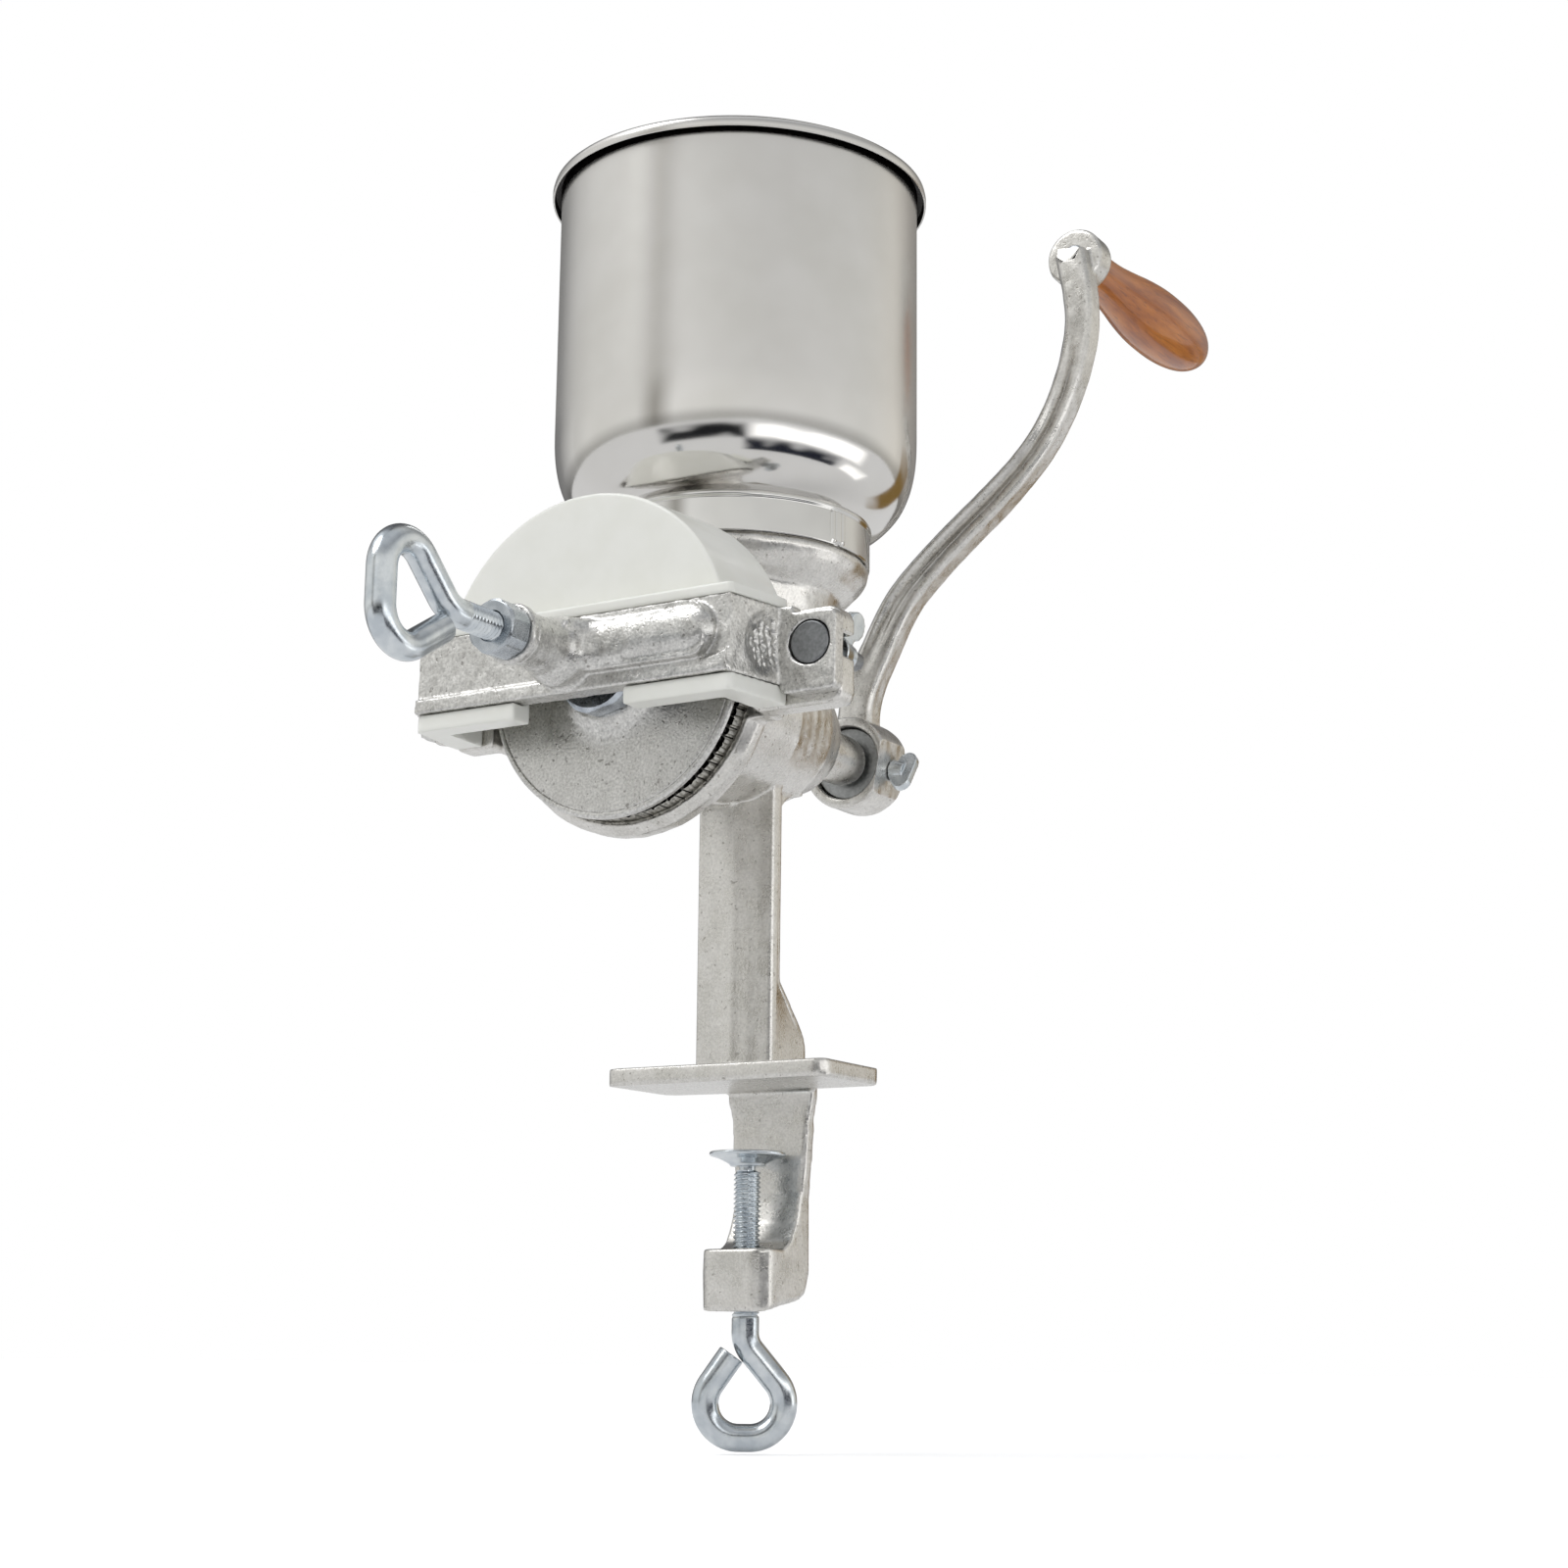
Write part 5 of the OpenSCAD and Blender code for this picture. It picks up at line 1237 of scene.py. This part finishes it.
@dataclass
class Crank(SubAssembly):
    """The swan-neck crank, its thumb screw and washer, and the wooden grip on its spindle."""

    throw: tuple = (96.0, 206.0)
    front: float = 85.0
    hub_r: float = 19.0
    hub_l: float = 24.0
    arm_back: float = 108.5
    boss_y: tuple = (104.7, 116.2)
    flat_x: float = 15.6
    lean: float = 10.0
    stations: tuple = (
        (-0.03, 0.02, 9.0), (-0.045, 0.1, 8.4), (-0.02, 0.165, 8.1), (0.05, 0.235, 8.0), (0.165, 0.333, 7.8),
        (0.31, 0.403, 7.5), (0.465, 0.463, 7.35), (0.61, 0.516, 7.2), (0.735, 0.566, 6.75), (0.842, 0.62, 6.45),
        (0.92, 0.677, 6.3), (0.977, 0.736, 6.3), (1.014, 0.79, 6.3), (1.036, 0.85, 6.3), (1.03, 0.92, 6.6),
        (1.0, 1.0, 6.9))

    @property
    def end(self) -> tuple:
        """Gives the point of the spindle's line at y = 0."""
        return self.throw[0], 0, AXIS_H + self.throw[1]

    def arm(self) -> Surface:
        """Carries the arm's ribbed section along its curve.

        Formula: point(s, k) = centre(s) + u(k) * half(s) * across(s), y = flat(k) + (rib(k) - flat(k)) *
        share(s), where the section k has a narrow rib on the left, a valley, and a broad band on the right,
        and share(s) lets the valley run out towards both ends.

        Returns:
            The closed surface.
        """
        line = smooth_curve([(x * self.throw[0], z * self.throw[1], w) for x, z, w in self.stations], 8)
        step = np.gradient(line[:, :2], axis=0)
        step /= np.linalg.norm(step, axis=1, keepdims=True)
        right = np.stack([step[:, 1], -step[:, 0]], 1)
        back = self.arm_back
        side = back - 0.8
        u = np.array([-1.0, -1.0, -0.92, -0.74, -0.6, -0.5, -0.42, -0.3, -0.12, 0.08, 0.24, 0.36, 0.6, 0.8,
                      0.93, 1.0, 1.0, 0.9, 0.0, -0.9])
        rib = np.array([side, 102.6, 101.4, 99.2, 98.2, 98.0, 98.25, 99.2, 99.9, 99.9, 99.2, 98.5, 98.2,
                        98.3, 98.9, 100.4, side, back, back, back])
        flat = np.array([side, 101.4, 100.2, 98.8, 98.2, *[98.0] * 7, 98.1, 98.3, 98.9, 100.4, side, back,
                         back, back])
        s = np.linspace(0, 1, len(line))[:, None]
        share = unit((s - 0.15) / 0.1) * unit((0.86 - s) / 0.22)
        place = line[:, None, :2] + right[:, None, :] * (line[:, 2:] * u[None, :])[..., None]
        rows = np.stack([place[..., 0], flat + (rib - flat) * share, place[..., 1]], 2)
        return Surface.grid(capped(rows) + [0, 0, AXIS_H], wrap_columns=True)

    def hub(self) -> Surface:
        """Turns the hub with its recess in front and its bore."""
        a, b, r = self.front, self.front + self.hub_l, self.hub_r
        return turned(rounded([
            (7.1, a + 5), (15.0, a + 5), (15.0, a), (r - 0.8, a), (r, a + 1.0), (r, b - 4.5), (r - 4.5, b),
            (7.1, b)], 1.0, True), Along.Y, steps=180, closed=True)

    def boss(self) -> Surface:
        """Turns the boss that carries the spindle."""
        a, b = self.boss_y
        outline = [(4.06, a), (11.2, a), (12.0, a + 0.8), (12.0, b - 0.8), (11.2, b), (4.06, b)]
        return turned(rounded(outline, 0.7, True), Along.Y, self.end, 140, True)

    def casting(self) -> Surface:
        """Fuses arm, hub and boss, and files the flat under the thumb screw."""
        skin = Surface.join([self.arm(), self.hub(), self.boss()]).fused(voxel=0.5, smoothing=4)
        a = math.radians(self.lean)

        def filed(p: Array) -> Array:
            """Brings every point beyond the flat's plane back on to it, and keeps the bores clear."""
            out = np.array([math.cos(a), 0, -math.sin(a)])
            over = (p - [0, 0, AXIS_H]) @ out - self.flat_x
            hub = (p[:, 2] < AXIS_H + 14) & (p[:, 2] > AXIS_H - 20)
            p = p - (np.clip(over, 0, None) * hub)[:, None] * out
            end = self.end[::2]
            for centre, bore, ends in (((0, AXIS_H), 7.06, (89.0, 120.0)), (end, 4.06, (90.0, 120.0)),
                                       (end, 5.3, (90.0, 104.6))):
                off = p[:, (0, 2)] - centre
                far = np.linalg.norm(off, axis=1)
                near = (far < bore) & (p[:, 1] > ends[0]) & (p[:, 1] < ends[1])
                p[near[:, None] & np.array([[True, False, True]])] = (
                    off[near] / np.maximum(far[near], 1e-6)[:, None] * bore + centre).ravel()
            return p

        return skin.moved(filed).roughened(height=0.05, size=6.0, seed=21)

    def grip(self) -> Surface:
        """Turns the grip: a slim neck that swells to the palm and draws in to a domed end."""
        outline = smooth_curve([
            (4.1, 117.9), (7.4, 117.75), (8.35, 118.6), (8.6, 121.5), (8.75, 131.0), (9.4, 141.0),
            (10.9, 153.0), (12.6, 165.0), (13.8, 177.0), (14.15, 188.0), (13.95, 200.0), (12.9, 211.0),
            (11.0, 220.5), (8.2, 227.5), (5.0, 231.8), (2.2, 233.4), (0.0, 233.7)], 6)
        inner = [(0.0, 222.0), (4.06, 221.5)]
        return turned(np.vstack([outline, inner]), Along.Y, self.end, 140, True)

    def ring(self, r: tuple, y: tuple, centre: tuple) -> Surface:
        """Turns a plain washer with soft edges: its two radii, its two places along Y, and its centre."""
        corners = [(r[0], y[0]), (r[1], y[0]), (r[1], y[1]), (r[0], y[1])]
        return turned(rounded(corners, 0.3, True), Along.Y, centre, 120, True)

    def spindle(self) -> Surface:
        """Turns the spindle with its domed riveted head in front."""
        return turned(np.vstack([
            smooth_curve([(0, 103.3), (2.6, 103.5), (4.4, 104.0), (5.0, 104.65)], 4),
            [(4.0, 104.7), (4.0, 218.4), (3.4, 219.2), (0, 219.2)]]), Along.Y, self.end, 80)

    def build(self) -> None:
        """Builds and dresses the crank's pieces."""
        self.place("swan_neck_crank", self.casting(), "crank", "crank_arm", "cast_tin", SMOOTH_TIN, 60)
        washer = self.ring((7.1, 14.4), (88.3, 89.7), (0, 0, AXIS_H))
        self.place("hub_washer", washer, "rotor_carriage", "thrust_washer", "washer", WASHER, 40)
        screw = self.cad("thumb_screw").fused(voxel=0.3, smoothing=4)
        self.place("hub_thumb_screw", screw, "crank_screw", "thumb_screw", "zinc", ZINC, 50)
        self.place("spindle", self.spindle(), "crank", "grip_spindle", "steel", STEEL, 40)
        washer = self.ring((4.1, 9.6), (116.2, 117.4), self.end)
        self.place("neck_washer", washer, "crank", "grip_washer", "dark_steel", BLACK_STEEL, 40)
        self.place("wooden_grip", self.grip(), "handgrip", "grip", "wood", WOOD, 50)


# Studio


@dataclass
class Studio:
    """The camera, the floor, the lamps and the world."""

    spot: tuple = (525.13, -821.40, -97.99)
    yaw: float = 31.41
    pitch: float = 12.21
    roll: float = 0.63
    lens: float = 60.75
    floor_z: float = -133.0
    floor_glow: float = 0.46
    floor_mirrored: float = 0.13
    foot_z: float = 235.0

    def camera(self) -> None:
        """Sets the camera that was fitted to the photograph."""
        a, b, c = (math.radians(v) for v in (self.yaw, self.pitch, self.roll))
        ahead = Vector((-math.sin(a) * math.cos(b), math.cos(a) * math.cos(b), math.sin(b)))
        flat = Vector((math.cos(a), math.sin(a), 0))
        up = flat.cross(ahead)
        right = flat * math.cos(c) + up * math.sin(c)
        top = up * math.cos(c) - flat * math.sin(c)
        data = bpy.data.cameras.new("photo_camera")
        data.lens, data.sensor_width, data.sensor_fit = self.lens, 36.0, "HORIZONTAL"
        data.clip_start, data.clip_end = 0.01, 50
        thing = add_thing("photo_camera", data)
        turn = Matrix((right, top, -ahead)).transposed().to_4x4()
        thing.matrix_world = Matrix.Translation(Vector(self.spot) * MM) @ turn
        bpy.context.scene.camera = thing

    def floor(self) -> None:
        """Lays a plain pale floor that keeps the mill's soft shadow."""
        z, reach = self.floor_z, 6000.0
        u = np.linspace(-reach, reach, 3)
        gx, gy = np.meshgrid(u, u, indexing="ij")
        surface = Surface.grid(np.stack([gx, gy, np.full_like(gx, z)], 2))

        def shade(tree: Tree) -> Node:
            """Adds a glow, for the camera and for shiny metal, to matt white."""
            path = add_node(tree, "ShaderNodeLightPath").outputs
            mirrored = maths(tree, "MULTIPLY", path["Is Glossy Ray"], self.floor_mirrored)
            lift = maths(tree, "MULTIPLY_ADD", path["Is Camera Ray"], self.floor_glow, mirrored)
            matt = add_node(tree, "ShaderNodeBsdfDiffuse", inputs={"Color": "#E4E4E4"})
            glow = add_node(tree, "ShaderNodeEmission", inputs={"Color": "#FFFFFF", "Strength": lift})
            return add_node(tree, "ShaderNodeAddShader", inputs={0: matt.outputs[0], 1: glow.outputs[0]})

        mesh = surface.mesh("floor")
        mesh.materials.append(painted("matt_white_floor", shade))
        thing = add_thing("floor", mesh)

    def world(self) -> None:
        """Lights the room: white to the camera, a graded studio to the metal, a plain level to the rest."""
        world = bpy.data.worlds.new("studio")
        bpy.context.scene.world = world
        tree = fresh_tree(world)
        way = add_node(tree, "ShaderNodeTexCoord").outputs["Generated"]
        split = add_node(tree, "ShaderNodeSeparateXYZ", inputs={0: way})
        side = maths(tree, "ARCTAN2", split.outputs[1], split.outputs[0])
        turn = add_node(tree, "ShaderNodeMapRange", inputs={
            "Value": side, "From Min": -math.pi, "From Max": math.pi})
        around = add_node(tree, "ShaderNodeValToRGB", {"stops": [
            (0.0, "#DCDCDB"), (0.05, "#F0F0EE"), (0.165, "#F3F3F1"), (0.2, "#A8A6A0"), (0.235, "#FFFFFE"),
            (0.3, "#F4F4F2"), (0.4, "#EEEEED"), (0.58, "#EDEDEB"), (0.67, "#F0EDE6"), (0.73, "#B0ACA6"),
            (0.8, "#8A8784"), (0.86, "#6A6A6A"), (0.93, "#909090"), (1.0, "#E4E4E3")]}, {0: turn.outputs[0]})
        rise = add_node(tree, "ShaderNodeMapRange", inputs={
            "Value": split.outputs[2], "From Min": -0.1, "From Max": 0.9})
        above = add_node(tree, "ShaderNodeValToRGB", {"stops": [
            (0.0, "#CCCCCB"), (0.1, "#CCCCCB"), (0.22, "#FFFFFF"), (0.5, "#FAFAFA"), (0.72, "#B4B6BA"),
            (1.0, "#E0E2E6")]}, {0: rise.outputs[0]})
        metal = mix(tree, 1.0, around.outputs[0], above.outputs[0], "MULTIPLY")
        path = add_node(tree, "ShaderNodeLightPath").outputs
        room = mix(tree, path["Is Glossy Ray"], "#CFD0D2", metal)
        seen = maths(tree, "MAXIMUM", path["Is Camera Ray"], path["Is Transmission Ray"])
        last = mix(tree, seen, room, "#FFFFFF")
        back = add_node(tree, "ShaderNodeBackground", inputs={"Color": last, "Strength": 1.0})
        add_node(tree, "ShaderNodeOutputWorld", inputs={"Surface": back.outputs[0]})

    def sun(self, name: str, way: Sequence[float], strength: float, spread: float) -> None:
        """Adds soft light of one strength everywhere, from a direction, with a spread in degrees."""
        data = bpy.data.lights.new(name, "SUN")
        data.energy, data.angle = strength, math.radians(spread)
        thing = add_thing(name, data)
        thing.matrix_world = Vector(way).to_track_quat("Z", "Y").to_matrix().to_4x4()

    def card(self, name: str, turn: tuple, rise: tuple, reach: float, colour: str,
             strength: float = 1.0) -> None:
        """Stands a curved card in the room, dark or bright, which only shiny surfaces see.

        Formula: point(a, e) = hopper's foot + reach * (cos a, sin a, tan e), for a between the two turns
        and e
        between the two rises. Its cover, kept as the mesh's veil, is 1 inside and falls away raggedly at
        its edges.

        Args:
            name: the card's name.
            turn: its two ends, in degrees round +Z from +X.
            rise: its upper and lower edge, in degrees above the hopper's foot.
            reach: how far it stands from the hopper's axis, in millimetres.
            colour: its colour.
            strength: how bright it is, where 1 is plain white.
        """
        a, e = np.meshgrid(*(np.radians(np.linspace(*ends, n)) for ends, n in ((turn, 49), (rise, 17))),
                           indexing="ij")
        points = np.stack([reach * np.cos(a), reach * np.sin(a), self.foot_z + reach * np.tan(e)], 2)
        mesh = Surface.grid(points).mesh(name)
        u, v = (np.minimum(w, 1 - w) for w in (np.linspace(0, 1, 49)[:, None], np.linspace(0, 1, 17)[None, :]))
        cover = np.minimum(u / 0.1, v / 0.22) * (1.2 + 0.45 * waves(points, reach * 0.3, 9))
        mesh.attributes.new("veil", "FLOAT", "POINT").data.foreach_set("value", unit(cover).ravel())

        def shade(tree: Tree) -> Node:
            """Lets the cloth's light show where the veil covers."""
            cloth = add_node(tree, "ShaderNodeEmission", inputs={"Color": colour, "Strength": strength})
            veil = add_node(tree, "ShaderNodeAttribute", {"attribute_name": "veil"})
            clear = add_node(tree, "ShaderNodeBsdfTransparent")
            return add_node(tree, "ShaderNodeMixShader", inputs={
                0: veil.outputs["Fac"], 1: clear.outputs[0], 2: cloth.outputs[0]})

        mesh.materials.append(painted(name + "_cloth", shade))
        thing = add_thing(name, mesh)
        thing.visible_camera = thing.visible_diffuse = thing.visible_shadow = thing.visible_transmission = False

    def build(self) -> None:
        """Sets up the whole studio."""
        bpy.context.scene.view_settings.view_transform = "Standard"
        self.camera()
        self.floor()
        self.world()
        self.sun("soft_sun", (-0.5, -0.65, 1.0), 1.05, 35)
        for card in (
                ("camera_shade", (-106, -50), (-5, -22), 600, "#0D0F14"),
                ("table_shade", (-54, 16), (-19, -50), 520, "#0E1426"),
                ("blue_sheet", (-42, 12), (-38, -54), 460, "#4566B0", 1.2),
                ("white_board", (-50, 31), (-5, -20), 560, "#FFFFFF", 1.9),
                ("low_board", (19, 42), (-22, -45), 540, "#FFFFFF", 1.7),
                ("wooden_board", (64, 80), (14, -34), 560, "#B79455", 0.5),
                ("left_panel", (-178, -140), (30, 62), 900, "#FFFFFF", 1.0)):
            self.card(*card)


def main() -> None:
    """Builds the studio and the mill in order."""
    logging.basicConfig(level=logging.INFO, format="%(name)s: %(message)s")
    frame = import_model()
    Studio().build()
    for group in (Hopper, Casting, GrindingHead, YokeAndGuard, Adjuster, Clamp, Crank):
        group(frame).build()


if __name__ == "__main__":
    main()
